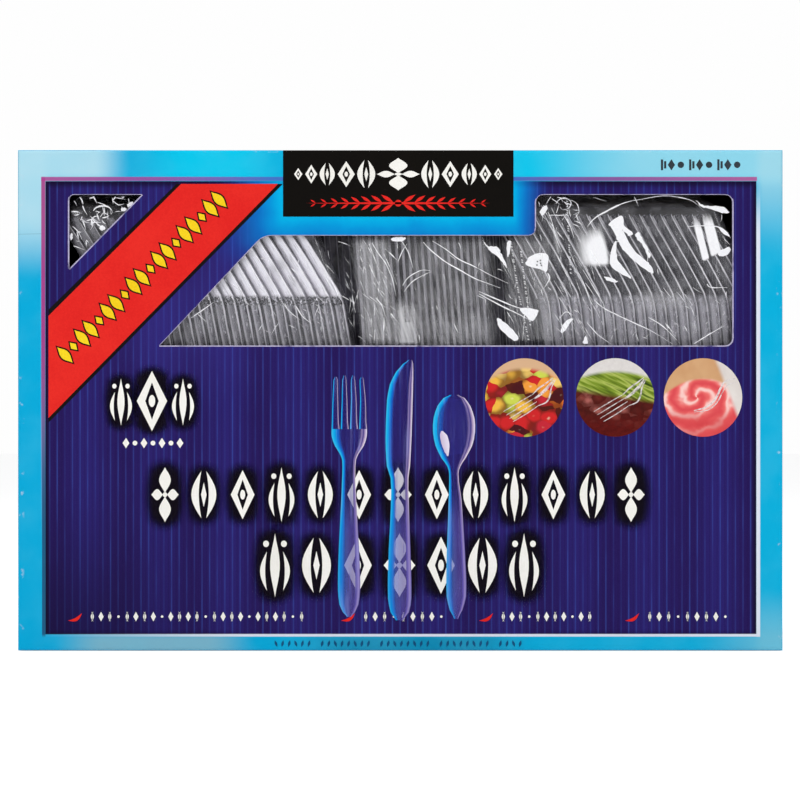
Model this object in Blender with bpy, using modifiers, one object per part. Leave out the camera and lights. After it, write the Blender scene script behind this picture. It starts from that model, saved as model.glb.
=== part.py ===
"""Window carton of clear plastic cutlery: six rows of film-wrapped packs in one glued carton.

Frame: origin at the middle of the bottom, front panel towards -Y, +Z up, metres.
"""
import math

import bpy
import bmesh
from mathutils import Vector

MM = 0.001

# Fits
CLEARANCE = 0.3 * MM
BOARD = 1.5 * MM
FILM = 0.3 * MM
FILM_SLACK = 0.3 * MM

# Carton
FOLD_RADIUS = 1.0 * MM
FLAP_SETBACK = 0.9 * MM
DUST_FLAP_REACH = 78.0 * MM
LAP_FREE_EDGE = 58.0 * MM
FLAP_CORNER = 6.0 * MM
GLUE_LAP = 30.0 * MM
HEAD_ROOM = 1.0 * MM
END_ROOM = 6.4 * MM
BACK_ROOM = 0.6 * MM

# Windows in the front panel, measured from the panel's edges
WINDOW_SIDE = 20.9 * MM
WINDOW_TOP = 18.5 * MM
WINDOW_HEIGHT = 62.7 * MM
WINDOW_STEP = 17.0 * MM
WINDOW_STEP_FROM_SIDE = 81.6 * MM
WINDOW_SLOPE_FOOT = 58.9 * MM
WINDOW_SLOPE_RUN = 43.0 * MM
SLOPE_CORNER = 8.0 * MM
INNER_CORNER = 3.2 * MM
OUTER_CORNER = 3.0 * MM
CORNER_WINDOW_SIDE = 21.3 * MM
CORNER_WINDOW_WIDTH = 30.2 * MM
CORNER_WINDOW_HEIGHT = 30.8 * MM
CORNER_WINDOW_CORNER = 2.0 * MM

# Rows of packs, front to back
ROWS = 6
PIECES_PER_PACK = 20
WALL = 1.2 * MM

# Fork
FORK_LENGTH = 184.0 * MM
FORK_HEAD_HALF = 13.0 * MM
FORK_HANDLE_HALF = 8.4 * MM
FORK_NECK_HALF = 4.6 * MM
TINE_LENGTH = 39.0 * MM
TINE_WIDTH = 4.1 * MM
TINE_TIP = 1.3 * MM
FORK_HEAD_LENGTH = 25.0 * MM
FORK_FLANGE_DEPTH = 3.1 * MM
FORK_FLANGE_RUN = 1.1 * MM
FORK_DISH = 1.8 * MM
HEAD_BEND = math.radians(7.5)
TINE_BEND = math.radians(19.0)

# Knife
KNIFE_LENGTH = 195.0 * MM
KNIFE_HANDLE_HALF = 8.0 * MM
KNIFE_NECK_HALF = 6.0 * MM
KNIFE_BLADE_FRONT = 10.5 * MM
KNIFE_BLADE_BACK = 9.5 * MM
KNIFE_HANDLE_LENGTH = 92.0 * MM
KNIFE_FLANGE_DEPTH = 1.9 * MM
KNIFE_FLANGE_RUN = 1.3 * MM
LUG_HALF = 3.0 * MM
LUG_HEIGHT = 2.0 * MM
LUG_BITE = 0.3 * MM

# Spoon, standing only in the rows behind
SPOON_LENGTH = 167.0 * MM
SPOON_HALF = 15.3 * MM
SPOON_HANDLE_HALF = 8.4 * MM
SPOON_STACK_DEPTH = 8.0 * MM

# Nests
LEFT_FORK_PITCH = 5.0 * MM
RIGHT_FORK_PITCH = 4.4 * MM
KNIFE_PITCH = 2.7 * MM
SPOON_PITCH = 4.0 * MM
LEFT_FORK_LEAN = math.radians(4.0)
KNIFE_LEAN = math.radians(4.0)
RIGHT_FORK_LEAN = math.radians(1.5)

# Film pouches
TOP_MARGIN = 1.0 * MM
SHOULDER = 4.0 * MM
FIN_HEIGHT = 2.4 * MM
FIN_HALF = 0.6 * MM
SHOULDER_INSET = 4.0 * MM
FIN_INSET = 12.0 * MM
POUCH_CHAMFER = 0.5 * MM
VENT_RADIUS = 0.6 * MM
VENT_PITCH = 3.4 * MM
VENT_INSET = 9.0 * MM
VENT_DROP = 23.0 * MM
VENTS = 4

POUCH_HALF = FORK_HEAD_HALF + CLEARANCE + FILM + FILM_SLACK
ROW_PITCH = 2.0 * POUCH_HALF + CLEARANCE
POUCH_FLOOR = BOARD + CLEARANCE
PIECE_FLOOR = POUCH_FLOOR + FILM + CLEARANCE
SIDE_ALLOWANCE = CLEARANCE + FILM + POUCH_CHAMFER


def start_scene():
    for obj in list(bpy.data.objects):
        bpy.data.objects.remove(obj, do_unlink=True)
    collections = []
    for name in ("plastic_cutlery_pack", "cutters"):
        collection = bpy.data.collections.new(name)
        bpy.context.scene.collection.children.link(collection)
        collections.append(collection)
    return collections


def plastic(name, colour, roughness, transmission=0.0):
    mat = bpy.data.materials.new(name)
    mat.use_nodes = True
    shader = mat.node_tree.nodes["Principled BSDF"]
    shader.inputs["Base Color"].default_value = (*colour, 1.0)
    shader.inputs["Roughness"].default_value = roughness
    shader.inputs["Metallic"].default_value = 0.0
    shader.inputs["Transmission Weight"].default_value = transmission
    return mat


def place(name, mesh, mat, collection, location=(0.0, 0.0, 0.0)):
    obj = bpy.data.objects.new(name, mesh)
    obj.location = location
    if mat is not None and not mesh.materials:
        mesh.materials.append(mat)
    collection.objects.link(obj)
    if collection.name == "cutters":
        obj.hide_render = True
        obj.display_type = "WIRE"
    return obj


def mesh_from(bm, name):
    bmesh.ops.recalc_face_normals(bm, faces=bm.faces)
    mesh = bpy.data.meshes.new(name)
    bm.to_mesh(mesh)
    bm.free()
    return mesh


def box(name, low, high, collection, mat=None, fold_edges=None, radius=0.0):
    """Box between two corners; fold_edges picks the edges that get a rounded fold."""
    bm = bmesh.new()
    bmesh.ops.create_cube(bm, size=1.0)
    low, high = Vector(low), Vector(high)
    for vert in bm.verts:
        vert.co = Vector([low[i] + (vert.co[i] + 0.5) * (high[i] - low[i]) for i in range(3)])
    if fold_edges is not None:
        edges = [e for e in bm.edges if fold_edges(*sorted((v.co.copy() for v in e.verts), key=tuple))]
        bmesh.ops.bevel(bm, geom=edges, offset=radius, segments=2, profile=0.5, affect="EDGES")
    return place(name, mesh_from(bm, name), mat, collection)


def cut(target, tool, operation="DIFFERENCE"):
    mod = target.modifiers.new(tool.name, "BOOLEAN")
    mod.operation = operation
    mod.solver = "EXACT"
    mod.object = tool


def loft(name, rings):
    """Closed solid through rings of equal point count, capped at both ends."""
    bm = bmesh.new()
    rows = [[bm.verts.new(point) for point in ring] for ring in rings]
    count = len(rings[0])
    for lower, upper in zip(rows, rows[1:]):
        for i in range(count):
            j = (i + 1) % count
            bm.faces.new((lower[i], lower[j], upper[j], upper[i]))
    bm.faces.new(list(reversed(rows[0])))
    bm.faces.new(rows[-1])
    return mesh_from(bm, name)


def rounded_outline(corners, steps=4):
    """Corner list of (x, z, radius) turned into points with each corner filleted."""
    points = []
    count = len(corners)
    for i, (x, z, radius) in enumerate(corners):
        here = Vector((x, z))
        if radius <= 0.0:
            points.append(here)
            continue
        before = Vector(corners[i - 1][:2])
        after = Vector(corners[(i + 1) % count][:2])
        a, b = (before - here).normalized(), (after - here).normalized()
        half = a.angle(b) / 2.0
        reach = min(radius / math.tan(half), (before - here).length / 2.0, (after - here).length / 2.0)
        true_radius = reach * math.tan(half)
        centre = here + (a + b).normalized() * (true_radius / math.sin(half))
        start = (here + a * reach) - centre
        end = (here + b * reach) - centre
        turn = start.angle_signed(end)
        for k in range(steps + 1):
            angle = -turn * k / steps
            points.append(centre + Vector((start.x * math.cos(angle) - start.y * math.sin(angle),
                                           start.x * math.sin(angle) + start.y * math.cos(angle))))
    return points


def prism(name, outline, y_low, y_high, collection):
    rings = [[(p.x, y, p.y) for p in outline] for y in (y_low, y_high)]
    return place(name, loft(name, rings), None, collection)


def bent_path(arc, lean, bends):
    """Point at a length along a piece that leans left and bends further at each (arc, angle)."""
    x = z = 0.0
    marks = [0.0] + [b[0] for b in bends]
    angles = [lean] + [lean + b[1] for b in bends]
    for i, start in enumerate(marks):
        end = marks[i + 1] if i + 1 < len(marks) else max(arc, start)
        run = max(0.0, min(arc, end) - start)
        x -= run * math.sin(angles[i])
        z += run * math.cos(angles[i])
    return x, z


FORK_ROOT = FORK_LENGTH - TINE_LENGTH
FORK_NECK = FORK_ROOT - FORK_HEAD_LENGTH
FORK_BENDS = [(FORK_NECK, HEAD_BEND), (FORK_ROOT, TINE_BEND)]


def fork_rows():
    """(arc, half width) of the rows of a fork below its tines."""
    return [(0.0, FORK_HANDLE_HALF * 0.62), (FORK_HANDLE_HALF * 0.5, FORK_HANDLE_HALF),
            (FORK_NECK * 0.55, FORK_HANDLE_HALF - 1.6 * MM), (FORK_NECK, FORK_NECK_HALF),
            (FORK_NECK + FORK_HEAD_LENGTH * 0.55, FORK_HEAD_HALF * 0.78), (FORK_ROOT, FORK_HEAD_HALF)]


def tine_rows():
    """(arc, tine width) of the rows above the tine roots."""
    return [(FORK_ROOT + TINE_LENGTH * 0.5, TINE_WIDTH * 0.8),
            (FORK_LENGTH - TINE_TIP, TINE_WIDTH * 0.55), (FORK_LENGTH, TINE_TIP * 0.7)]


def dish(y):
    return FORK_DISH * (y / FORK_HEAD_HALF) ** 2


def fork_mesh(name, lean):
    """Channel handle, dished head and four tines as one sheet; unlike sections are lofted."""
    bm = bmesh.new()

    def vert(arc, y, depth):
        x, z = bent_path(arc, lean, FORK_BENDS)
        return bm.verts.new((x + depth, y, z))

    rows = fork_rows()
    channel = []
    for arc, half in rows[:4]:
        channel.append([vert(arc, -half, FORK_FLANGE_DEPTH), vert(arc, -half + FORK_FLANGE_RUN, 0.0),
                        vert(arc, half - FORK_FLANGE_RUN, 0.0), vert(arc, half, FORK_FLANGE_DEPTH)])
    for lower, upper in zip(channel, channel[1:]):
        for i in range(3):
            bm.faces.new((lower[i], lower[i + 1], upper[i + 1], upper[i]))
    slot = (2.0 * FORK_HEAD_HALF - 4.0 * TINE_WIDTH) / 3.0
    centres = [-FORK_HEAD_HALF + TINE_WIDTH / 2.0 + i * (TINE_WIDTH + slot) for i in range(4)]
    edges = [c + side * TINE_WIDTH / 2.0 for c in centres for side in (-1, 1)]
    head = []
    for arc, half in rows[4:]:
        scale = half / FORK_HEAD_HALF
        head.append([vert(arc, y * scale, dish(y * scale)) for y in edges])
    neck, base = channel[-1], head[0]
    for face in ((neck[0], neck[1], base[1], base[0]), (neck[1], base[2], base[1]),
                 (neck[1], base[3], base[2]), (neck[1], neck[2], base[4], base[3]),
                 (neck[2], base[5], base[4]), (neck[2], base[6], base[5]),
                 (neck[2], neck[3], base[7], base[6])):
        bm.faces.new(face)
    for i in range(7):
        bm.faces.new((head[0][i], head[0][i + 1], head[1][i + 1], head[1][i]))
    for i, centre in enumerate(centres):
        lower = head[1][2 * i:2 * i + 2]
        for arc, width in tine_rows():
            upper = [vert(arc, centre + side * width / 2.0, dish(centre)) for side in (-1, 1)]
            bm.faces.new((lower[0], lower[1], upper[1], upper[0]))
            lower = upper
    mesh = bpy.data.meshes.new(name)
    bm.to_mesh(mesh)
    bm.free()
    return mesh


def knife_rows():
    """(arc, front y, back y) of a knife; the cutting edge faces the front panel."""
    neck = KNIFE_HANDLE_LENGTH
    return [(0.0, -KNIFE_HANDLE_HALF * 0.6, KNIFE_HANDLE_HALF * 0.6),
            (KNIFE_HANDLE_HALF * 0.5, -KNIFE_HANDLE_HALF, KNIFE_HANDLE_HALF),
            (neck, -KNIFE_NECK_HALF, KNIFE_NECK_HALF),
            (neck + 11.0 * MM, -KNIFE_BLADE_FRONT, KNIFE_NECK_HALF + 0.6 * MM),
            (KNIFE_LENGTH - 30.0 * MM, -KNIFE_BLADE_FRONT, KNIFE_BLADE_BACK),
            (KNIFE_LENGTH - 8.0 * MM, -KNIFE_BLADE_FRONT + 2.5 * MM, KNIFE_BLADE_BACK - 1.0 * MM),
            (KNIFE_LENGTH, -1.0 * MM, KNIFE_BLADE_BACK - 5.0 * MM)]


def knife_mesh(name, lean):
    bm = bmesh.new()
    rows = []
    for i, (arc, front, back) in enumerate(knife_rows()):
        x, z = bent_path(arc, lean, [])
        depth = KNIFE_FLANGE_DEPTH if i < 3 else 0.0
        rows.append([bm.verts.new((x + depth, front, z)),
                     bm.verts.new((x, front + KNIFE_FLANGE_RUN, z)),
                     bm.verts.new((x, back - KNIFE_FLANGE_RUN, z)),
                     bm.verts.new((x + depth, back, z))])
    for lower, upper in zip(rows, rows[1:]):
        for i in range(3):
            bm.faces.new((lower[i], lower[i + 1], upper[i + 1], upper[i]))
    mesh = bpy.data.meshes.new(name)
    bm.to_mesh(mesh)
    bm.free()
    return mesh


def thicken(obj, thickness, offset=0.0):
    mod = obj.modifiers.new("wall", "SOLIDIFY")
    mod.thickness = thickness
    mod.offset = offset
    mod.use_even_offset = True


def path_z(arcs, lean, bends):
    return [PIECE_FLOOR + bent_path(arc, lean, bends)[1] for arc in arcs]


class Stack:
    """A nest of equal pieces side by side along X, leaning left."""

    def __init__(self, pitch, lean, bends, rows, depth):
        self.lean, self.bends, self.pitch = lean, bends, pitch
        self.rows = rows
        self.width = (PIECES_PER_PACK - 1) * pitch + depth + 2.0 * WALL
        self.x = 0.0

    def shift(self, z):
        """Sideways offset of the pieces at a height."""
        arcs = [0.0] + [b[0] for b in self.bends] + [self.rows[-1][0] * 1.5]
        points = [bent_path(a, self.lean, self.bends) for a in arcs]
        height = z - PIECE_FLOOR
        for (x0, z0), (x1, z1) in zip(points, points[1:]):
            if height <= z1:
                return x0 + (x1 - x0) * (height - z0) / (z1 - z0)
        return points[-1][0]

    def left(self, z):
        return self.x + self.shift(z) - WALL - SIDE_ALLOWANCE

    def right(self, z):
        return self.x + self.shift(z) - WALL + self.width + SIDE_ALLOWANCE

    def top(self):
        return path_z([self.rows[-1][0]], self.lean, self.bends)[0]


def pouch_levels(stack):
    """(z, half depth, inset) up the pouch that wraps a stack."""
    levels = [(POUCH_FLOOR, stack.rows[1][1], 0.0)]
    for arc, half in stack.rows[1:]:
        levels.append((path_z([arc], stack.lean, stack.bends)[0], half, 0.0))
    top = stack.top() + TOP_MARGIN
    widest = levels[-1][1]
    levels[-1] = (top, widest, 0.0)
    levels.append((top + SHOULDER, widest * 0.3, SHOULDER_INSET))
    levels.append((top + SHOULDER * 1.3, FIN_HALF, SHOULDER_INSET * 1.5))
    levels.append((top + SHOULDER * 1.3 + FIN_HEIGHT, FIN_HALF, FIN_INSET))
    return levels


def ring(x_low, x_high, y_mid, half, z):
    c = min(POUCH_CHAMFER, half * 0.5)
    return [(x_low + c, y_mid - half, z), (x_high - c, y_mid - half, z), (x_high, y_mid - half + c, z),
            (x_high, y_mid + half - c, z), (x_high - c, y_mid + half, z), (x_low + c, y_mid + half, z),
            (x_low, y_mid + half - c, z), (x_low, y_mid - half + c, z)]


def front_pouch(name, stack, y_mid, mat, parts, cutters):
    levels = pouch_levels(stack)
    rings = [ring(stack.left(z) + inset, stack.right(z) - inset, y_mid, half, z)
             for z, half, inset in levels]
    pouch = place(name, loft(name, rings), mat, parts)
    thicken(pouch, FILM, -1.0)
    z = levels[-4][0] - VENT_DROP
    for i in range(VENTS):
        x = stack.left(z) + VENT_INSET + (i % 2) * VENT_PITCH
        bm = bmesh.new()
        bmesh.ops.create_cone(bm, cap_ends=True, segments=6, radius1=VENT_RADIUS, radius2=VENT_RADIUS,
                              depth=8.0 * FILM)
        for vert in bm.verts:
            px, py, pz = vert.co
            vert.co = (px, pz, py)
        vent = place(f"{name}_vent_{i}", mesh_from(bm, f"{name}_vent_{i}"), None, cutters,
                     (x, y_mid - levels[-4][1], z - (i // 2) * VENT_PITCH))
        cut(pouch, vent)
    return pouch


def solid_pouch(name, x_low, x_high, y_mid, levels, mat, parts):
    """Pack that stands behind the front row, as one filled solid of its outer shape."""
    rings = [ring(x_low + inset, x_high - inset, y_mid, half, z) for z, half, inset in levels]
    return place(name, loft(name, rings), mat, parts)


def pouch_half(half):
    return half + CLEARANCE + FILM + FILM_SLACK


def pouch_rows(rows, least):
    return [(arc, pouch_half(max(half, least))) for arc, half in rows]


def folded_edge(y_front):
    """Picks the folds along X and the upright folds at the front."""
    def picked(a, b):
        along_x = abs(a.y - b.y) < 1e-9 and abs(a.z - b.z) < 1e-9
        upright = abs(a.x - b.x) < 1e-9 and abs(a.y - b.y) < 1e-9
        return along_x or (upright and abs(a.y - y_front) < 1e-9)
    return picked


def flap_end_outline(y_edge, y_beyond, height):
    """What is cleared behind the outer flap's free edge, with its two rounded corners."""
    low, high = FLAP_SETBACK, height - FLAP_SETBACK
    points = [(y_beyond, -BOARD), (y_beyond, height + BOARD), (y_edge - FLAP_CORNER, height + BOARD)]
    steps = 4
    for k in range(steps + 1):
        angle = math.pi / 2.0 * k / steps
        points.append((y_edge - FLAP_CORNER * (1.0 - math.sin(angle)),
                       high - FLAP_CORNER * (1.0 - math.cos(angle))))
    for k in range(steps + 1):
        angle = math.pi / 2.0 * (1.0 - k / steps)
        points.append((y_edge - FLAP_CORNER * (1.0 - math.sin(angle)),
                       low + FLAP_CORNER * (1.0 - math.cos(angle))))
    points.append((y_edge - FLAP_CORNER, -BOARD))
    return points


def build_carton(width, depth, height, mat, parts, cutters):
    """Sleeve, dust flaps, inner and outer end flaps and glue lap, glued into one body."""
    x_dust = width / 2.0 - 2.0 * BOARD
    x_inner = width / 2.0 - BOARD
    x_outer = width / 2.0
    y_out = depth / 2.0
    carton = box("carton", (-x_outer, -y_out, 0.0), (x_outer, y_out, height), parts, mat,
                 folded_edge(-y_out), FOLD_RADIUS)
    outline = flap_end_outline(y_out - LAP_FREE_EDGE, y_out + BOARD, height)
    for side, sign in (("left", -1), ("right", 1)):
        x_a, x_b = sorted((sign * x_inner, sign * (x_outer + BOARD)))
        rings = [[(x, y, z) for y, z in outline] for x in (x_a, x_b)]
        cut(carton, place(f"lap_step_{side}", loft(f"lap_step_{side}", rings), None, cutters))
        x_a, x_b = sorted((sign * x_dust, sign * (x_outer + BOARD)))
        for end, z_a, z_b in (("low", -BOARD, FLAP_SETBACK),
                              ("high", height - FLAP_SETBACK, height + BOARD)):
            cut(carton, box(f"setback_{side}_{end}", (x_a, -y_out + BOARD, z_a),
                            (x_b, y_out + BOARD, z_b), cutters))
    cut(carton, box("inside", (-x_dust + BOARD, -y_out + BOARD, BOARD),
                    (x_dust - BOARD, y_out - BOARD, height - BOARD), cutters))
    cut(carton, box("between_dust_flaps", (-x_dust, -y_out + BOARD + CLEARANCE, DUST_FLAP_REACH),
                    (x_dust, y_out - BOARD - CLEARANCE, height - DUST_FLAP_REACH), cutters))
    cut(carton, box("glue_lap", (-x_dust + 3.0 * BOARD, y_out - 2.0 * BOARD, BOARD / 2.0),
                    (x_dust - 3.0 * BOARD, y_out - BOARD / 2.0, BOARD + GLUE_LAP), cutters), "UNION")
    side = x_outer - WINDOW_SIDE
    top = height - WINDOW_TOP
    foot = top - WINDOW_HEIGHT
    step = x_outer - WINDOW_SIDE - WINDOW_STEP_FROM_SIDE
    left = -x_outer + WINDOW_SLOPE_FOOT
    large = rounded_outline([
        (left, foot, 0.0),
        (left + WINDOW_SLOPE_RUN, top - WINDOW_STEP, SLOPE_CORNER),
        (step, top - WINDOW_STEP, INNER_CORNER),
        (step, top, OUTER_CORNER),
        (side, top, OUTER_CORNER),
        (side, foot, OUTER_CORNER)])
    cut(carton, prism("large_window", large, -y_out - BOARD, -y_out + 2.0 * BOARD, cutters))
    corner_x = -x_outer + CORNER_WINDOW_SIDE
    small = rounded_outline([
        (corner_x, top, CORNER_WINDOW_CORNER),
        (corner_x + CORNER_WINDOW_WIDTH, top, 0.0),
        (corner_x, top - CORNER_WINDOW_HEIGHT, 0.0)])
    cut(carton, prism("corner_window", small, -y_out - BOARD, -y_out + 2.0 * BOARD, cutters))
    return carton


def main():
    parts, cutters = start_scene()
    printed = plastic("printed_board", (0.04, 0.05, 0.30), 0.35)
    clear = plastic("clear_plastic", (0.86, 0.88, 0.90), 0.06, 0.9)
    wrap = plastic("clear_film", (0.93, 0.93, 0.95), 0.12, 0.9)

    fork_levels = [(a, h) for a, h in pouch_rows(fork_rows(), FORK_HANDLE_HALF)]
    fork_levels += [(a, pouch_half(FORK_HEAD_HALF)) for a, _ in tine_rows()[::2]]
    knife_half = max(KNIFE_BLADE_FRONT, KNIFE_BLADE_BACK)
    knife_levels = [(a, pouch_half(max(-f, b, KNIFE_HANDLE_HALF))) for a, f, b in knife_rows()[:4]]
    knife_levels += [(KNIFE_LENGTH, pouch_half(knife_half))]
    left = Stack(LEFT_FORK_PITCH, LEFT_FORK_LEAN, FORK_BENDS, fork_levels, FORK_FLANGE_DEPTH)
    middle = Stack(KNIFE_PITCH, KNIFE_LEAN, [], knife_levels, KNIFE_FLANGE_DEPTH)
    right = Stack(RIGHT_FORK_PITCH, RIGHT_FORK_LEAN, FORK_BENDS, fork_levels, FORK_FLANGE_DEPTH)

    # Each stack stands as close to the one on its right as the two leans allow.
    heights = [POUCH_FLOOR + (left.top() - POUCH_FLOOR) * i / 60.0 for i in range(67)]
    middle.x = min(right.left(z) - middle.right(z) for z in heights) - CLEARANCE
    left.x = min(middle.left(z) - left.right(z) for z in heights) - CLEARANCE
    leftmost = min(left.left(z) for z in heights)
    rightmost = max(right.right(z) for z in heights)
    inner_width = rightmost - leftmost + 2.0 * CLEARANCE + END_ROOM
    centre = rightmost + CLEARANCE - inner_width / 2.0
    for stack in (left, middle, right):
        stack.x -= centre
    width = inner_width + 6.0 * BOARD
    deepest = pouch_half(SPOON_HALF)
    depth = (3.0 * BOARD + CLEARANCE + POUCH_HALF + (ROWS - 1) * ROW_PITCH
             + max(deepest, POUCH_HALF) + BACK_ROOM)
    packs_top = max([pouch_levels(stack)[-1][0] for stack in (left, middle, right)]
                    + [PIECE_FLOOR + max(FORK_LENGTH, KNIFE_LENGTH, SPOON_LENGTH) + TOP_MARGIN
                       + SHOULDER * 1.3])
    height = packs_top + HEAD_ROOM + BOARD

    build_carton(width, depth, height, printed, parts, cutters)

    y_first = -depth / 2.0 + BOARD + CLEARANCE + POUCH_HALF
    rows_y = [y_first + i * ROW_PITCH for i in range(ROWS)]

    number = 0
    for stack, label in ((left, "left"), (right, "right")):
        mesh = fork_mesh(f"{label}_fork", stack.lean)
        for i in range(PIECES_PER_PACK):
            number += 1
            fork = place(f"fork_{number:02d}", mesh, clear, parts,
                         (stack.x + i * stack.pitch, rows_y[0], PIECE_FLOOR))
            thicken(fork, WALL)

    # The knives are one body, joined where the stacking lug of each meets the next.
    mesh = knife_mesh("knife", middle.lean)
    nest = bpy.data.collections.new("knife_nest_tools")
    cutters.children.link(nest)
    knives = None
    for i in range(PIECES_PER_PACK):
        x = middle.x + i * middle.pitch
        if i == 0:
            knives = place("knives", mesh, clear, parts, (x, rows_y[0], PIECE_FLOOR))
            thicken(knives, WALL)
        else:
            knife = place(f"knife_{i + 1:02d}", mesh, clear, nest, (x, rows_y[0], PIECE_FLOOR))
            knife.hide_render = True
            knife.display_type = "WIRE"
            thicken(knife, WALL)
    lug_arc = KNIFE_HANDLE_LENGTH * 0.2
    lug_dx, lug_dz = bent_path(lug_arc, middle.lean, [])
    for i in range(PIECES_PER_PACK - 1):
        x = middle.x + i * middle.pitch + lug_dx
        z = PIECE_FLOOR + lug_dz
        lug = box(f"lug_{i + 1:02d}", (x + WALL / 2.0 - LUG_BITE, rows_y[0] - LUG_HALF, z),
                  (x + middle.pitch - WALL / 2.0 + LUG_BITE, rows_y[0] + LUG_HALF, z + LUG_HEIGHT), nest)
        lug.hide_render = True
        lug.display_type = "WIRE"
    union = knives.modifiers.new("nest", "BOOLEAN")
    union.operation = "UNION"
    union.solver = "EXACT"
    union.operand_type = "COLLECTION"
    union.collection = nest

    front_pouch("left_fork_film", left, rows_y[0], wrap, parts, cutters)
    front_pouch("knife_film", middle, rows_y[0], wrap, parts, cutters)
    front_pouch("right_fork_film", right, rows_y[0], wrap, parts, cutters)

    # Rows behind, filled from the right end: f fork, k knife, s spoon.
    fork_width = left.width + 2.0 * SIDE_ALLOWANCE
    knife_width = middle.width + 2.0 * SIDE_ALLOWANCE
    spoon_width = ((PIECES_PER_PACK - 1) * SPOON_PITCH + SPOON_STACK_DEPTH + 2.0 * SIDE_ALLOWANCE)
    fork_top = PIECE_FLOOR + FORK_LENGTH + TOP_MARGIN
    spoon_top = PIECE_FLOOR + SPOON_LENGTH + TOP_MARGIN
    slim = pouch_half(FORK_HANDLE_HALF)
    spoon_slim = pouch_half(SPOON_HANDLE_HALF)
    wide = pouch_half(SPOON_HALF)
    head = pouch_half(FORK_HEAD_HALF)
    knife = pouch_half(knife_half)

    def upper_end(top, half):
        return [(top, half, 0.0), (top + SHOULDER, half * 0.3, SHOULDER_INSET),
                (top + SHOULDER * 1.3, FIN_HALF, SHOULDER_INSET * 1.5)]

    shapes = {
        "f": (fork_width, [(POUCH_FLOOR, slim, 0.0), (FORK_NECK, slim, 0.0), (FORK_ROOT, head, 0.0)]
              + upper_end(fork_top, head)),
        "k": (knife_width, [(POUCH_FLOOR, knife, 0.0)]
              + upper_end(PIECE_FLOOR + KNIFE_LENGTH + TOP_MARGIN, knife)),
        "down": (spoon_width, [(POUCH_FLOOR, spoon_slim, 0.0), (SPOON_LENGTH * 0.12, wide, 0.0),
                               (SPOON_LENGTH * 0.28, wide, 0.0), (SPOON_LENGTH * 0.42, spoon_slim, 0.0)]
                 + upper_end(spoon_top, spoon_slim)),
        "up": (spoon_width, [(POUCH_FLOOR, spoon_slim, 0.0), (SPOON_LENGTH * 0.60, spoon_slim, 0.0),
                             (SPOON_LENGTH * 0.74, wide, 0.0), (SPOON_LENGTH * 0.90, wide, 0.0)]
               + upper_end(spoon_top, slim)),
    }
    names = {"f": "fork_pack", "k": "knife_pack", "s": "spoon_pack"}
    counts = {"f": 2, "k": 1, "s": 0}
    layout = ["fks", "fks", "ffs", "ffs", "fss"]
    for r, kinds in enumerate(layout):
        x_high = inner_width / 2.0 - CLEARANCE
        for kind in reversed(kinds):
            counts[kind] += 1
            shape = kind if kind != "s" else ("down" if r % 2 == 0 else "up")
            pack_width, levels = shapes[shape]
            solid_pouch(f"{names[kind]}_{counts[kind]:02d}", x_high - pack_width, x_high,
                        rows_y[r + 1], levels, wrap, parts)
            x_high -= pack_width + CLEARANCE

    for obj in parts.objects:
        obj.data.shade_smooth()
        obj.data.set_sharp_from_angle(angle=math.radians(30.0))


main()
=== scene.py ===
"""Looks of a window carton of clear plastic cutlery: printed board, crinkled film packs, clear forks and knives.

The front artwork is laid out on the picture's grid: u counts its pixels to the right and v its pixels down.
"""
import math
import random

import bpy
import bmesh
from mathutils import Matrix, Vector, noise


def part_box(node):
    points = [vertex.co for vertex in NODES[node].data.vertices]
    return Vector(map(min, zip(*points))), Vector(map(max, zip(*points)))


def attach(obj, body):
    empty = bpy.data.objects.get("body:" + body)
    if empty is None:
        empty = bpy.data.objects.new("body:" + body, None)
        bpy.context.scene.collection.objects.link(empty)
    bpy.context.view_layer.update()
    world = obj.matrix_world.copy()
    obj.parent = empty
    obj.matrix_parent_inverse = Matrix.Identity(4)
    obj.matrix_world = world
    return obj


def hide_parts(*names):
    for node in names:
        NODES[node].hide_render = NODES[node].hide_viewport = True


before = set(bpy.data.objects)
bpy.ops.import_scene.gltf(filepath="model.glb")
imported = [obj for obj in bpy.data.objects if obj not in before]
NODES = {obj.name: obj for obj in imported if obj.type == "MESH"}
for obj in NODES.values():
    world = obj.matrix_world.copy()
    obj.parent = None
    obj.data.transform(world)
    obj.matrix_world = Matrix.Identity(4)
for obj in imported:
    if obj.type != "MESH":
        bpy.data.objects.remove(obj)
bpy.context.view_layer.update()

MM = 0.001
BOX_LOW, BOX_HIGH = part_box("carton")
FRONT = BOX_LOW.y
BACK = BOX_HIGH.y
HALF_WIDTH = BOX_HIGH.x
HEIGHT = BOX_HIGH.z
BOARD = 1.5 * MM
GLOSS_LEVEL = 0.06
SHADOW_EASE = 0.85

# The picture's grid on the front panel: the carton's edges in pixels
LEFT_U, RIGHT_U = 17.9, 782.7
TOP_V, BOTTOM_V = 150.5, 650.2
PIXEL_X = (BOX_HIGH.x - BOX_LOW.x) / (RIGHT_U - LEFT_U)
PIXEL_Z = HEIGHT / (BOTTOM_V - TOP_V)
MIDDLE_U = (LEFT_U + RIGHT_U) / 2.0
DECAL_STEP = 0.06 * MM

# Printed panel inside the cyan border
PANEL_LEFT, PANEL_RIGHT = 45.4, 756.4
PANEL_TOP, PANEL_BOTTOM = 181.5, 634.0
PINSTRIPE = 7.62


def at_x(u):
    return (u - MIDDLE_U) * PIXEL_X


def at_z(v):
    return (BOTTOM_V - v) * PIXEL_Z


def rgb(red, green, blue):
    """Linear colour of an sRGB colour in 0 to 255."""
    def linear(value):
        value /= 255.0
        return value / 12.92 if value <= 0.04045 else ((value + 0.055) / 1.055) ** 2.4
    return (linear(red), linear(green), linear(blue), 1.0)


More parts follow.
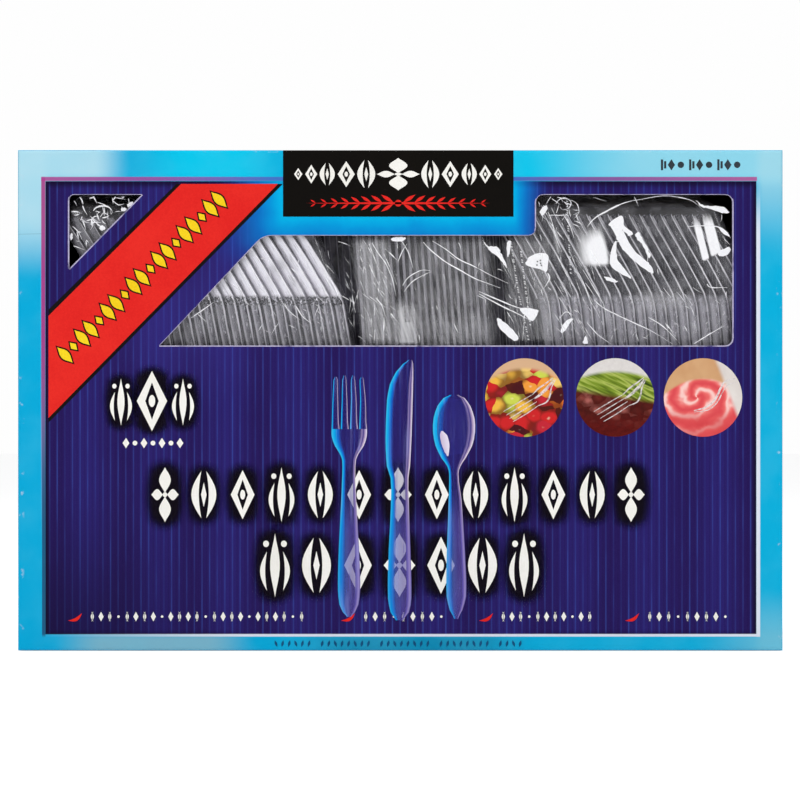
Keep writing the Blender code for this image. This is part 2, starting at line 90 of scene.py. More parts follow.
class Wire:
    """One output in a material's graph, with arithmetic."""

    def __init__(self, paint, socket):
        self.paint, self.socket = paint, socket

    def __add__(self, other):
        return self.paint.math("ADD", self, other)

    def __radd__(self, other):
        return self.paint.math("ADD", other, self)

    def __sub__(self, other):
        return self.paint.math("SUBTRACT", self, other)

    def __rsub__(self, other):
        return self.paint.math("SUBTRACT", other, self)

    def __mul__(self, other):
        return self.paint.math("MULTIPLY", self, other)

    def __rmul__(self, other):
        return self.paint.math("MULTIPLY", other, self)

    def __truediv__(self, other):
        return self.paint.math("DIVIDE", self, other)


class Paint:
    """A node material built by calls: each call adds a node and returns its output."""

    def __init__(self, name):
        self.material = bpy.data.materials.new(name)
        self.material.use_nodes = True
        self.tree = self.material.node_tree
        self.tree.nodes.clear()
        self.output = self.tree.nodes.new("ShaderNodeOutputMaterial")

    def node(self, kind, **settings):
        node = self.tree.nodes.new(kind)
        for key, value in settings.items():
            setattr(node, key, value)
        return node

    def feed(self, socket, value):
        if isinstance(value, Wire):
            self.tree.links.new(value.socket, socket)
        else:
            socket.default_value = value

    def math(self, operation, a, b=0.0, c=0.0):
        node = self.node("ShaderNodeMath", operation=operation)
        for socket, value in zip(node.inputs, (a, b, c)):
            self.feed(socket, value)
        return Wire(self, node.outputs[0])

    def largest(self, *values):
        result = values[0]
        for value in values[1:]:
            result = self.math("MAXIMUM", result, value)
        return result

    def step(self, value, low, high):
        """0 at low to 1 at high, eased and clamped."""
        node = self.node("ShaderNodeMapRange", interpolation_type="SMOOTHSTEP", clamp=True)
        self.feed(node.inputs["Value"], value)
        if low <= high:
            node.inputs["From Min"].default_value, node.inputs["From Max"].default_value = low, high
            return Wire(self, node.outputs[0])
        node.inputs["From Min"].default_value, node.inputs["From Max"].default_value = high, low
        return 1.0 - Wire(self, node.outputs[0])

    def band(self, value, low, high, soft=0.4):
        """1 between low and high, 0 outside, with soft edges."""
        return self.step(value, low - soft, low + soft) * self.step(value, high + soft, high - soft)

    def mix(self, factor, a, b):
        node = self.node("ShaderNodeMix", data_type="RGBA")
        for index, value in ((0, factor), (6, a), (7, b)):
            self.feed(node.inputs[index], value)
        return Wire(self, node.outputs[2])

    def ramp(self, value, stops, interpolation="LINEAR"):
        """Colour along a value from (place, colour) stops."""
        node = self.node("ShaderNodeValToRGB")
        node.color_ramp.interpolation = interpolation
        elements = node.color_ramp.elements
        while len(elements) < len(stops):
            elements.new(0.5)
        for element, (place, colour) in zip(elements, stops):
            element.position = place
            element.color = colour
        self.feed(node.inputs[0], value)
        return Wire(self, node.outputs[0])

    def place(self):
        """The point's object coordinates x, y, z in metres, and the vector itself."""
        vector = Wire(self, self.node("ShaderNodeTexCoord").outputs["Object"])
        split = self.node("ShaderNodeSeparateXYZ")
        self.feed(split.inputs[0], vector)
        return [Wire(self, split.outputs[i]) for i in range(3)] + [vector]

    def normal(self):
        split = self.node("ShaderNodeSeparateXYZ")
        self.feed(split.inputs[0], Wire(self, self.node("ShaderNodeNewGeometry").outputs["Normal"]))
        return [Wire(self, split.outputs[i]) for i in range(3)]

    def vector(self, x, y, z):
        node = self.node("ShaderNodeCombineXYZ")
        for socket, value in zip(node.inputs, (x, y, z)):
            self.feed(socket, value)
        return Wire(self, node.outputs[0])

    def noise(self, vector, scale, detail=2.0, roughness=0.5, distortion=0.0):
        node = self.node("ShaderNodeTexNoise")
        self.feed(node.inputs["Vector"], vector)
        for name, value in (("Scale", scale), ("Detail", detail), ("Roughness", roughness),
                            ("Distortion", distortion)):
            node.inputs[name].default_value = value
        return Wire(self, node.outputs["Fac"])

    def attribute(self, name):
        return Wire(self, self.node("ShaderNodeAttribute", attribute_name=name).outputs["Fac"])

    def bump(self, height, strength, distance):
        node = self.node("ShaderNodeBump")
        node.inputs["Strength"].default_value = strength
        node.inputs["Distance"].default_value = distance
        self.feed(node.inputs["Height"], height)
        return Wire(self, node.outputs[0])

    def principled(self, colour, roughness, bump=None, **inputs):
        node = self.node("ShaderNodeBsdfPrincipled")
        self.feed(node.inputs["Base Color"], colour)
        self.feed(node.inputs["Roughness"], roughness)
        if bump is not None:
            self.feed(node.inputs["Normal"], bump)
        for name, value in inputs.items():
            node.inputs[name.replace("_", " ")].default_value = value
        return Wire(self, node.outputs[0])

    def transparent(self, colour):
        node = self.node("ShaderNodeBsdfTransparent")
        self.feed(node.inputs[0], colour)
        return Wire(self, node.outputs[0])

    def blend(self, factor, a, b):
        """Mix of two shaders."""
        node = self.node("ShaderNodeMixShader")
        for socket, value in zip(node.inputs, (factor, a, b)):
            self.feed(socket, value)
        return Wire(self, node.outputs[0])

    def facing(self, blend):
        """0 where the surface faces the eye, 1 at its rim: for gloss and clear plastic."""
        node = self.node("ShaderNodeLayerWeight")
        node.inputs["Blend"].default_value = blend
        return Wire(self, node.outputs["Facing"])

    def spot(self):
        """The point's place in the whole model, for variation from piece to piece."""
        split = self.node("ShaderNodeSeparateXYZ")
        self.feed(split.inputs[0], Wire(self, self.node("ShaderNodeNewGeometry").outputs["Position"]))
        return [Wire(self, split.outputs[i]) for i in range(3)]

    def shadow_ray(self):
        return Wire(self, self.node("ShaderNodeLightPath").outputs["Is Shadow Ray"])

    def see_through(self, amount, body, tint):
        """Body over a clear tint by amount; most light passes it, as it passes thin plastic."""
        shadow = self.shadow_ray()
        clear = self.transparent(self.mix(shadow, tint, rgb(252, 252, 254)))
        return self.blend(amount * (1.0 - shadow * SHADOW_EASE), clear, body)

    def done(self, shader):
        self.tree.links.new(shader.socket, self.output.inputs["Surface"])
        return self.material


def pinstripes(paint, u, v, vector):
    """Navy ground with fine lighter lines and slow blue and violet bands."""
    slow = paint.math("SINE", u * (2.0 * math.pi / 70.0)) * 0.5 + 0.5
    wander = paint.noise(paint.vector(u * 0.045, v * 0.0035, 0.0), 1.0, 2.0)
    ground = paint.mix(slow * 0.55 + wander * 0.4, rgb(34, 17, 78), rgb(43, 34, 112))
    fine = paint.math("FRACT", u / PINSTRIPE)
    line = paint.band(fine, 0.44, 0.58, 0.08)
    pair = paint.band(paint.math("FRACT", u / (PINSTRIPE * 4.0)), 0.5, 0.9, 0.12)
    uneven = paint.step(paint.noise(paint.vector(u * 0.13, v * 0.02, 3.0), 1.0, 3.0), 0.35, 0.7)
    ground = paint.mix(line * (0.1 + 0.3 * uneven + 0.16 * pair), ground, rgb(60, 88, 178))
    dark = paint.band(fine, 0.02, 0.2, 0.1)
    ground = paint.mix(dark * 0.25, ground, rgb(28, 13, 64))
    grain = paint.noise(vector, 2600.0, 2.0)
    return paint.mix(paint.step(grain, 0.5, 0.8) * 0.1, ground, rgb(84, 74, 150))


def speckle(paint, vector, scale, amount):
    """Sparse tiny flecks, as where a printed fold or a rub has lost some ink."""
    node = paint.node("ShaderNodeTexVoronoi", feature="F1")
    paint.feed(node.inputs["Vector"], vector)
    node.inputs["Scale"].default_value = scale
    distance = Wire(paint, node.outputs["Distance"])
    chosen = paint.noise(vector, scale * 0.37, 1.0)
    return paint.step(distance, 0.06, 0.03) * paint.step(chosen, 0.7, 0.76) * amount


def front_print(paint, u, v, vector):
    """Border, panel, label glow and frame lines of the front panel."""
    top = paint.step(v, 190.0, 172.0)
    bottom = paint.step(v, 628.0, 640.0)
    left = paint.step(u, 52.0, 40.0)
    right = paint.step(u, 752.0, 764.0)
    cloud = paint.noise(paint.vector(u * 0.02, v * 0.02, 5.0), 1.0, 3.0)
    border = paint.mix(paint.step(u, 20.0, 780.0), rgb(2, 168, 215), rgb(3, 174, 218))
    border = paint.mix(top * paint.step(u, 300.0, 530.0) * 0.9, border, rgb(2, 196, 232))
    border = paint.mix(top * paint.band(u, 158.0, 266.0, 34.0) * 0.85, border, rgb(4, 200, 234))
    pale = rgb(176, 219, 233)
    border = paint.mix(top * paint.step(u, 132.0, 92.0) * 0.95, border, pale)
    border = paint.mix(left * paint.step(v, 282.0, 214.0) * 0.95, border, pale)
    border = paint.mix(top * paint.step(u, 520.0, 660.0) * 0.92, border, rgb(150, 213, 231))
    border = paint.mix(right * paint.step(v, 262.0, 160.0) * 0.85, border, rgb(158, 214, 230))
    border = paint.mix(right * paint.step(v, 585.0, 640.0) * 0.85, border, rgb(110, 190, 215))
    border = paint.mix(bottom * paint.step(u, 690.0, 776.0) * 0.8, border, rgb(110, 190, 215))
    border = paint.mix(bottom * paint.band(u, 78.0, 232.0, 26.0) * 0.85, border, rgb(133, 183, 200))
    # Painted shadow: the bottom border is darker in its middle.
    border = paint.mix(bottom * paint.band(u, 318.0, 505.0, 40.0) * 0.85, border, rgb(15, 134, 173))
    border = paint.mix(paint.step(cloud, 0.35, 0.7) * 0.12, border, rgb(96, 205, 232))
    crease = paint.band(v + (u - 18.0) * 0.03, 234.2, 235.0, 0.5) * paint.step(u, 50.0, 40.0)
    border = paint.mix(crease * 0.55, border, rgb(120, 170, 190))

    panel = pinstripes(paint, u, v, vector)
    corner = paint.step(u, 240.0, 60.0) * paint.step(v, 470.0, 650.0)
    panel = paint.mix(corner * 0.75, panel, rgb(22, 12, 56))
    warm = paint.step(paint.math("ABSOLUTE", u - 184.0), 120.0, 10.0)
    warm = warm * paint.step(paint.math("ABSOLUTE", v - 310.0), 110.0, 10.0)
    panel = paint.mix(warm * 0.3, panel, rgb(62, 54, 146))
    aside = paint.largest(LABEL_LEFT - u, (u - LABEL_RIGHT) * 2.1, 0.0)
    below = paint.largest(v - LABEL_BOTTOM, 0.0)
    away = paint.math("SQRT", aside * aside + below * below * 1.1)
    away = away + (paint.noise(paint.vector(u * 0.03, v * 0.03, 9.0), 1.0) - 0.5) * 16.0
    near = paint.step(away, GLOW_REACH, 4.0)
    glow = paint.ramp(away / GLOW_REACH, [(0.0, rgb(0, 176, 228)), (0.12, rgb(0, 150, 216)),
                                          (0.3, rgb(0, 118, 204)), (0.6, rgb(16, 78, 178)),
                                          (0.85, rgb(38, 54, 148)), (1.0, rgb(48, 42, 120))])
    panel = paint.mix(near, panel, glow)
    rim = paint.largest(paint.step(v, 190.0, 183.0), paint.step(u, 51.0, 46.5),
                        paint.step(u, 750.5, 755.0), paint.step(v, 629.0, 633.0) * 0.5)
    by_label = paint.band(u, LABEL_LEFT - 46.0, LABEL_RIGHT + 26.0, 22.0)
    panel = paint.mix(rim * (0.78 - by_label * 0.62), panel, rgb(16, 9, 34))

    inside = paint.band(u, PANEL_LEFT, PANEL_RIGHT) * paint.band(v, PANEL_TOP, PANEL_BOTTOM)
    artwork = paint.mix(inside, border, panel)
    magenta_left = paint.band(u, 41.2, 45.2) * paint.step(v, 176.0, 180.0) * paint.step(v, 560.0, 330.0)
    artwork = paint.mix(magenta_left * 0.92, artwork, rgb(168, 48, 128))
    dark_left = paint.band(u, 42.0, 45.6) * paint.step(v, 330.0, 520.0) * paint.step(v, 638.0, 633.0)
    artwork = paint.mix(dark_left * 0.8, artwork, rgb(36, 52, 92))
    magenta_top = paint.band(v, 177.2, 181.2) * paint.band(u, 41.2, 757.0)
    shade = paint.ramp(u / 800.0, [(0.05, rgb(172, 60, 138)), (0.2, rgb(150, 66, 150)),
                                   (0.34, rgb(70, 104, 190)), (0.64, rgb(66, 96, 184)),
                                   (0.74, rgb(132, 62, 142)), (0.94, rgb(176, 72, 140))])
    artwork = paint.mix(magenta_top * 0.9, artwork, shade)
    white_right = paint.band(u, 756.4, 760.2) * paint.band(v, 180.0, 636.4)
    white_right = white_right * paint.step(v, 178.0, 240.0)
    white_bottom = paint.band(v, 633.6, 636.2) * paint.band(u, 45.0, 760.2) * paint.step(u, 30.0, 260.0)
    artwork = paint.mix(paint.largest(white_right, white_bottom) * 0.95, artwork, rgb(226, 229, 240))
    return artwork


LABEL_LEFT, LABEL_RIGHT, LABEL_BOTTOM = 283.0, 513.5, 217.0
LABEL_WRAP = 34.0 * MM
GLOW_REACH = 92.0
SIDE_BORDER = 11.0 * MM
CUT_EDGE = 0.5 * MM
EDGE_MARGIN = 4.0 * MM
LID_BORDER = 12.5 * MM


def side_print(paint, across, up, half, low, high, vector):
    """Cyan border, white line and navy panel on a face that has no window."""
    edge = paint.math("ABSOLUTE", across)
    cyan = paint.noise(vector, 14.0, 2.0)
    border = paint.mix(cyan, rgb(2, 160, 209), rgb(24, 188, 224))
    u = across / PIXEL_X
    v = up / PIXEL_X
    panel = pinstripes(paint, u, v, vector)
    inset = paint.largest(edge - half + SIDE_BORDER, low + SIDE_BORDER - up, up - high + SIDE_BORDER)
    line = paint.band(inset, -0.9 * MM, 0.3 * MM, 0.2 * MM)
    shade = paint.step(inset, -6.0 * MM, -1.0 * MM)
    panel = paint.mix(shade * 0.7, panel, rgb(16, 9, 34))
    artwork = paint.mix(paint.step(inset, -0.2 * MM, 0.2 * MM), panel, border)
    return paint.mix(line * 0.9, artwork, rgb(224, 228, 240))


def carton_material():
    paint = Paint("printed_board")
    x, y, z, vector = paint.place()
    nx, ny, nz = paint.normal()
    u = x / PIXEL_X + MIDDLE_U
    v = BOTTOM_V - z / PIXEL_Z
    front = front_print(paint, u, v, vector)
    back = side_print(paint, x, z, HALF_WIDTH, 0.0, HEIGHT, vector)
    end = side_print(paint, y, z, BACK, 0.0, HEIGHT, vector)
    lid = side_print(paint, x, y, HALF_WIDTH, FRONT, BACK, vector)
    label = paint.band(x, at_x(LABEL_LEFT), at_x(LABEL_RIGHT), 0.1 * MM)
    label = label * paint.step(y, FRONT + LABEL_WRAP, FRONT + LABEL_WRAP - 0.2 * MM)
    lid = paint.mix(label, lid, rgb(16, 13, 11))

    # Which side of the sheet a point is on: print outside, grey pulp inside and on the cut edges
    out_front = paint.step(y, FRONT + 0.5 * MM, FRONT + 0.3 * MM) * paint.step(ny, -0.3, -0.6)
    out_back = paint.step(y, BACK - 0.5 * MM, BACK - 0.3 * MM) * paint.step(ny, 0.3, 0.6)
    out_end = paint.step(paint.math("ABSOLUTE", x), HALF_WIDTH - 1.9 * MM, HALF_WIDTH - 1.7 * MM)
    out_end = out_end * paint.step(nx * x / HALF_WIDTH, 0.3, 0.6)
    out_lid = paint.step(z, HEIGHT - 0.5 * MM, HEIGHT - 0.3 * MM) * paint.step(nz, 0.3, 0.6)
    out_floor = paint.step(z, 0.5 * MM, 0.3 * MM) * paint.step(nz, -0.3, -0.6)
    fibre = paint.noise(paint.vector(x * 1.0, y * 1.0, z * 3.0), 420.0, 4.0, 0.6)
    pulp = paint.mix(fibre, rgb(120, 108, 92), rgb(158, 146, 128))
    cut = paint.mix(paint.noise(vector, 900.0, 3.0), rgb(178, 170, 196), rgb(208, 202, 222))
    in_front_sheet = paint.step(y, FRONT + BOARD + 0.1 * MM, FRONT + BOARD - 0.1 * MM)
    rim = in_front_sheet * paint.step(paint.math("ABSOLUTE", ny), 0.7, 0.4)
    rim = rim * paint.step(paint.math("ABSOLUTE", x), HALF_WIDTH - 3.0 * MM, HALF_WIDTH - 4.0 * MM)
    rim = rim * paint.band(z, 4.0 * MM, HEIGHT - 4.0 * MM, 0.2 * MM)
    colour = paint.mix(rim, pulp, cut)
    fold = paint.mix(paint.noise(vector, 60.0, 2.0), rgb(3, 158, 208), rgb(10, 178, 218))
    outer = paint.largest(out_front, out_back, out_end, out_lid, out_floor)
    round_fold = paint.largest(
        paint.step(paint.math("ABSOLUTE", x), HALF_WIDTH - 1.2 * MM, HALF_WIDTH - 0.9 * MM),
        paint.step(z, HEIGHT - 1.2 * MM, HEIGHT - 0.9 * MM), paint.step(z, 1.2 * MM, 0.9 * MM))
    colour = paint.mix(round_fold * (1.0 - rim), colour, fold)
    for mask, artwork in ((out_floor, back), (out_lid, lid), (out_end, end), (out_back, back),
                          (out_front, front)):
        colour = paint.mix(mask, colour, artwork)
    flecks = speckle(paint, vector, 700.0, 0.1)
    worn = paint.step(paint.noise(vector, 240.0, 3.0), 0.62, 0.72)
    by_end = paint.step(paint.math("ABSOLUTE", x), HALF_WIDTH - 3.0 * MM, HALF_WIDTH - 1.6 * MM)
    by_face = paint.step(paint.math("ABSOLUTE", y), BACK - 1.2 * MM, BACK - 0.4 * MM)
    by_lid = paint.step(z, HEIGHT - 1.2 * MM, HEIGHT - 0.4 * MM)
    edges = paint.largest(by_end * by_face, by_end * by_lid, by_face * by_lid)
    colour = paint.mix(paint.largest(flecks * outer, worn * edges * 0.5 * outer), colour, rgb(206, 214, 228))
    wave = paint.noise(paint.vector(x, y * 2.0, z * 0.6), 36.0, 2.0) + fibre * 0.05
    bump = paint.bump(wave, 0.12, 0.6 * MM)
    roughness = 0.62 - outer * 0.26
    return paint.done(paint.principled(colour, roughness, bump, Specular_IOR_Level=GLOSS_LEVEL))


def cut_edges():
    """The windows' cut edges, where the board's pale core shows as a thin line."""
    mesh = NODES["carton"].data
    on_edge = {}
    for face in mesh.polygons:
        for key in face.edge_keys:
            on_edge.setdefault(key, []).append(face.normal)
    bm = bmesh.new()
    for (a, b), normals in on_edge.items():
        ends = [mesh.vertices[i].co for i in (a, b)]
        middle = (ends[0] + ends[1]) / 2.0
        if max(abs(end.y - FRONT) for end in ends) > 0.01 * MM or abs(middle.x) > HALF_WIDTH - EDGE_MARGIN:
            continue
        walls = [n for n in normals if abs(n.y) < 0.1]
        if not walls or not EDGE_MARGIN < middle.z < HEIGHT - EDGE_MARGIN:
            continue
        # Along the windows' top edges the pale line is narrower: painted shade.
        inward = -walls[0] * CUT_EDGE * (0.4 if walls[0].z < -0.5 else 1.0)
        step = Vector((0.0, -DECAL_STEP, 0.0))
        along = (ends[1] - ends[0]).normalized() * CUT_EDGE * 0.2
        bm.faces.new([bm.verts.new(point) for point in (
            ends[0] + step - along, ends[1] + step + along, ends[1] + inward + step + along,
            ends[0] + inward + step - along)])
    finish_flat_piece("window_cut_edges", bm, cut_edge_material())


def cut_edge_material():
    paint = Paint("cut_board")
    vector = paint.place()[3]
    fibre = paint.noise(vector, 700.0, 3.0, 0.6)
    tint = paint.mix(fibre, rgb(150, 140, 186), rgb(220, 214, 236))
    core = paint.principled(tint, 0.7, Specular_IOR_Level=GLOSS_LEVEL)
    amount = paint.step(paint.noise(vector, 160.0, 2.0), 0.28, 0.5) * 0.7 + 0.2
    return paint.done(paint.blend(amount, paint.transparent(rgb(255, 255, 255)), core))


def dress_carton():
    carton = NODES["carton"]
    carton.data.materials.clear()
    carton.data.materials.append(carton_material())


# Clear pieces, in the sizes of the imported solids
FORK_LENGTH = 184.0 * MM
FORK_ROOT = 145.0 * MM
FORK_NECK = 120.0 * MM
FORK_HEAD_HALF = 13.0 * MM
TINE_WIDTH = 4.1 * MM
FLANGE_DEPTH = 3.1 * MM
FORK_DISH = 1.8 * MM
HEAD_BEND = math.radians(7.5)
TINE_BEND = math.radians(19.0)
FORK_HALVES = [(0.0, 4.4), (1.0, 6.2), (2.4, 7.7), (4.6, 8.4), (66.0, 6.8), (108.0, 4.8), (120.0, 4.6),
               (126.0, 6.6), (133.7, 10.2), (140.0, 12.4), (145.0, 13.0)]
TINE_WIDTHS = [(145.0, 4.1), (164.5, 3.3), (179.0, 2.5), (182.4, 1.9), (183.6, 1.1), (184.0, 0.5)]
KNIFE_LENGTH = 195.0 * MM
KNIFE_LEAN = math.radians(4.0)
KNIFE_PITCH = 2.7 * MM
KNIFE_COUNT = 20
TOOTH = 1.3 * MM
WALL = 1.2 * MM
LEFT_LEAN = math.radians(4.0)
RIGHT_LEAN = math.radians(1.5)
FORKS_PER_PACK = 20


def between(table, place):
    """Smooth reading of a table of (place, value) rows given in millimetres."""
    place /= MM
    if place <= table[0][0]:
        return table[0][1] * MM
    for (a, low), (b, high) in zip(table, table[1:]):
        if place <= b:
            part = (place - a) / (b - a)
            return (low + (high - low) * part) * MM
    return table[-1][1] * MM


def ease(value, low, high):
    part = max(0.0, min(1.0, (value - low) / (high - low)))
    return part * part * (3.0 - 2.0 * part)


def leaning_path(length, lean, bends, soft=5.0 * MM):
    """Points (x, z) each millimetre along a piece that leans left and bends softly at each (arc, angle)."""
    points = [(0.0, 0.0)]
    for i in range(int(round(length / MM))):
        arc = (i + 0.5) * MM
        angle = lean + sum(turn * ease(arc, at - soft, at + soft) for at, turn in bends)
        x, z = points[-1]
        points.append((x - MM * math.sin(angle), z + MM * math.cos(angle)))
    return points


def on_path(points, arc):
    index = min(int(arc / MM), len(points) - 2)
    part = arc / MM - index
    (xa, za), (xb, zb) = points[index], points[index + 1]
    return xa + (xb - xa) * part, za + (zb - za) * part


# How far the outer tines' lips stand out, by column, as a share of the flange
LIP = {0: 1.0, 1: 0.3, 14: 0.3, 15: 1.0}


def fork_surface(name, lean):
    """Sheet of a fork: channel handle, dished head, four tines, sixteen columns across."""
    path = leaning_path(FORK_LENGTH, lean, [(FORK_NECK, HEAD_BEND), (FORK_ROOT, TINE_BEND)])
    bm = bmesh.new()
    # The 'edge' attribute holds painted highlight: highest at the flange's lip and the outer tines' lips, and along the
    # tines' sides.
    edge = bm.verts.layers.float.new("edge")
    slot = (2.0 * FORK_HEAD_HALF - 4.0 * TINE_WIDTH) / 3.0
    centres = [-FORK_HEAD_HALF + TINE_WIDTH / 2.0 + i * (TINE_WIDTH + slot) for i in range(4)]
    across = (-0.5, -0.3, 0.3, 0.5)
    head = [(c + TINE_WIDTH * part) / FORK_HEAD_HALF for c in centres for part in across]
    quarter = [(-1.0, 1.0), (-0.985, 0.55), (-0.93, 0.12), (-0.82, 0.0), (-0.6, 0.0), (-0.42, 0.0),
               (-0.25, 0.0), (-0.08, 0.0)]
    channel = quarter + [(-y, depth) for y, depth in reversed(quarter)]

    def vertex(arc, y, depth, glow):
        x, z = on_path(path, arc)
        vert = bm.verts.new((x + depth, y, z))
        vert[edge] = glow
        return vert

    def row(arc):
        half = between(FORK_HALVES, arc)
        turn = ease(arc, FORK_NECK - 4.0 * MM, FORK_NECK + 13.0 * MM)
        verts = []
        for i, fraction in enumerate(head):
            y = (channel[i][0] + (fraction - channel[i][0]) * turn) * half
            dish = FORK_DISH * (y / FORK_HEAD_HALF) ** 2
            lip = LIP[i] if i in LIP else 0.0
            depth = FLANGE_DEPTH * (channel[i][1] * (1.0 - turn) + lip * turn) + dish * turn * 0.35
            glow = max(channel[i][1] * (1.0 - turn), lip)
            verts.append(vertex(arc, y, depth, glow))
        return verts

    arcs = [a * MM for a in (0.0, 1.0, 2.4, 4.6, 12.0, 30.0, 48.0, 66.0, 84.0, 100.0, 112.0, 117.0, 121.0,
                             125.0, 129.0, 133.7, 137.0, 140.0, 142.5, 145.0)]
    rows = [row(arc) for arc in arcs]
    for lower, upper in zip(rows, rows[1:]):
        for i in range(15):
            bm.faces.new((lower[i], lower[i + 1], upper[i + 1], upper[i]))
    for k, centre in enumerate(centres):
        lower = rows[-1][4 * k:4 * k + 4]
        for arc in (147.0, 150.0, 155.0, 161.0, 168.0, 175.0, 180.0, 182.4, 183.6, 184.0):
            width = between(TINE_WIDTHS, arc * MM)
            dish = FORK_DISH * (centre / FORK_HEAD_HALF) ** 2
            upper = []
            for column, part in enumerate(across):
                lip = LIP.get(4 * k + column, 0.0)
                thin = 1.16 - 0.3 * ease(arc, 158.0, 184.0)
                glow = lip if lip else (0.8 if abs(part) > 0.4 else 0.25)
                upper.append(vertex(arc * MM, centre + width * part,
                                    dish * 0.35 + FLANGE_DEPTH * lip * thin, glow))
            for i in range(3):
                bm.faces.new((lower[i], lower[i + 1], upper[i + 1], upper[i]))
            lower = upper
    mesh = bpy.data.meshes.new(name)
    bm.to_mesh(mesh)
    bm.free()
    return mesh


def knife_surface(name):
    """Sheet of a knife: channel handle and a blade with a row of teeth towards the front."""
    path = leaning_path(KNIFE_LENGTH, KNIFE_LEAN, [])
    fronts = [(0.0, 4.8), (1.2, 6.6), (4.0, 8.0), (92.0, 6.0), (98.0, 8.0), (103.0, 10.4), (165.0, 10.5),
              (187.0, 8.0), (192.0, 5.0), (195.0, 1.2)]
    backs = [(0.0, 4.8), (1.2, 6.6), (4.0, 8.0), (92.0, 6.0), (103.0, 6.6), (165.0, 9.5), (187.0, 8.5),
             (193.0, 6.5), (195.0, 4.5)]
    bm = bmesh.new()
    edge = bm.verts.layers.float.new("edge")
    plain = [0.0, 1.2, 2.6, 4.0, 20.0, 40.0, 60.0, 78.0, 88.0, 92.0, 96.0, 100.0]
    arcs = [a * MM for a in plain]
    tooth = 103.0 * MM
    while tooth < 186.0 * MM:
        arcs.append(tooth)
        tooth += TOOTH / 2.0
    arcs += [a * MM for a in (187.0, 190.0, 192.5, 194.2, 195.0)]
    rows = []
    for number, arc in enumerate(arcs):
        x, z = on_path(path, arc)
        front, back = -between(fronts, arc), between(backs, arc)
        toothed = 103.0 * MM <= arc < 186.0 * MM
        nick = 0.45 * MM if toothed and number % 2 else 0.0
        flange = 1.9 * MM * (1.0 - ease(arc, 84.0 * MM, 97.0 * MM))
        verts = []
        # The third value of each point is its painted highlight, kept in the 'edge' attribute: 1 at the flanges' lips.
        for y, depth, glow in ((front + nick, flange, 1.0), (front + 0.9 * MM, flange * 0.25, 0.5),
                               (front + 2.2 * MM, 0.0, 0.0), (0.0, 0.0, 0.0), (back - 2.2 * MM, 0.0, 0.0),
                               (back - 0.9 * MM, flange * 0.25, 0.5), (back, flange, 1.0)):
            vert = bm.verts.new((x + depth, y, z))
            vert[edge] = glow
            verts.append(vert)
        rows.append(verts)
    for lower, upper in zip(rows, rows[1:]):
        for i in range(6):
            bm.faces.new((lower[i], lower[i + 1], upper[i + 1], upper[i]))
    mesh = bpy.data.meshes.new(name)
    bm.to_mesh(mesh)
    bm.free()
    return mesh


def put(name, mesh, location=(0.0, 0.0, 0.0)):
    obj = bpy.data.objects.new(name, mesh)
    obj.location = location
    bpy.context.scene.collection.objects.link(obj)
    return obj


def thicken(obj, wall):
    solid = obj.modifiers.new("wall", "SOLIDIFY")
    solid.thickness = wall
    solid.offset = 0.0
    solid.material_offset_rim = 1


def smooth(mesh):
    mesh.shade_smooth()
    mesh.set_sharp_from_angle(angle=math.radians(50.0))


def grey(level):
    """A neutral plastic grey, a little violet as in the picture."""
    return rgb(level, level - 2, min(255, level + 6))


def fork_plastic(name, head, tines, root_strength, painted_glints):
    """Clear moulded plastic whose greys are painted light: painted highlight and shade across each wall, from its fold
    (0) to its lip (1), in the head and tines, with painted glints.
    """
    paint = Paint(name)
    x, y, z, vector = paint.place()
    edge = paint.attribute("edge")
    px, py, pz = paint.spot()
    streak = paint.noise(paint.vector(edge * 8.0, px * 190.0, z * 38.0), 1.0, 3.0, 0.65)
    fine = paint.noise(paint.vector(px * 1500.0, py * 900.0, pz * 64.0), 1.0, 2.0, 0.6)
    patch = paint.noise(paint.vector(px * 60.0, 0.0, pz * 42.0), 1.0, 2.0)
    above = paint.step(z, FORK_ROOT - 1.0 * MM, FORK_ROOT + 1.5 * MM)
    # Painted highlight and shade across each wall from the ramps, by the 'edge' attribute; the tines above the root
    # have their own ramp.
    tint = paint.mix(above, paint.ramp(edge, head), paint.ramp(edge, tines))
    tint = paint.mix(paint.step(streak, 0.47, 0.3) * 0.55, tint, grey(74))
    # Painted glints: fine bright specks, their share on the tines set by painted_glints.
    tint = paint.mix(paint.step(fine, 0.55, 0.72) * (0.5 - above * (0.5 - painted_glints)), tint, grey(236))
    tint = paint.mix(paint.step(patch, 0.5, 0.28) * 0.4, tint, grey(70))
    shaded = paint.step(px, at_x(CORNER_SHADE_U), at_x(CORNER_SHADE_U - 10.0))
    tint = paint.mix(shaded * 0.85, tint, grey(40))
    # Painted shade and glints along the tine roots: dark and bright specks.
    roots = paint.band(z, FORK_ROOT - 3.4 * MM, FORK_ROOT + 0.2 * MM, 0.5 * MM) * root_strength
    dots = paint.noise(paint.vector(px * 1300.0, py * 500.0, pz * 1100.0), 1.0, 1.0)
    tint = paint.mix(roots * paint.step(dots, 0.54, 0.46), tint, grey(22))
    tint = paint.mix(roots * paint.step(dots, 0.6, 0.7) * 0.8, tint, grey(240))
    rim = paint.facing(0.42)
    body = paint.principled(tint, 0.2, paint.bump(streak, 0.2, 0.3 * MM), IOR=1.57)
    amount = paint.step(edge, 0.0, 0.1) * 0.62 + rim * 0.3 + 0.3
    return paint.done(paint.see_through(paint.math("MINIMUM", amount, 0.95), body, rgb(214, 212, 222)))


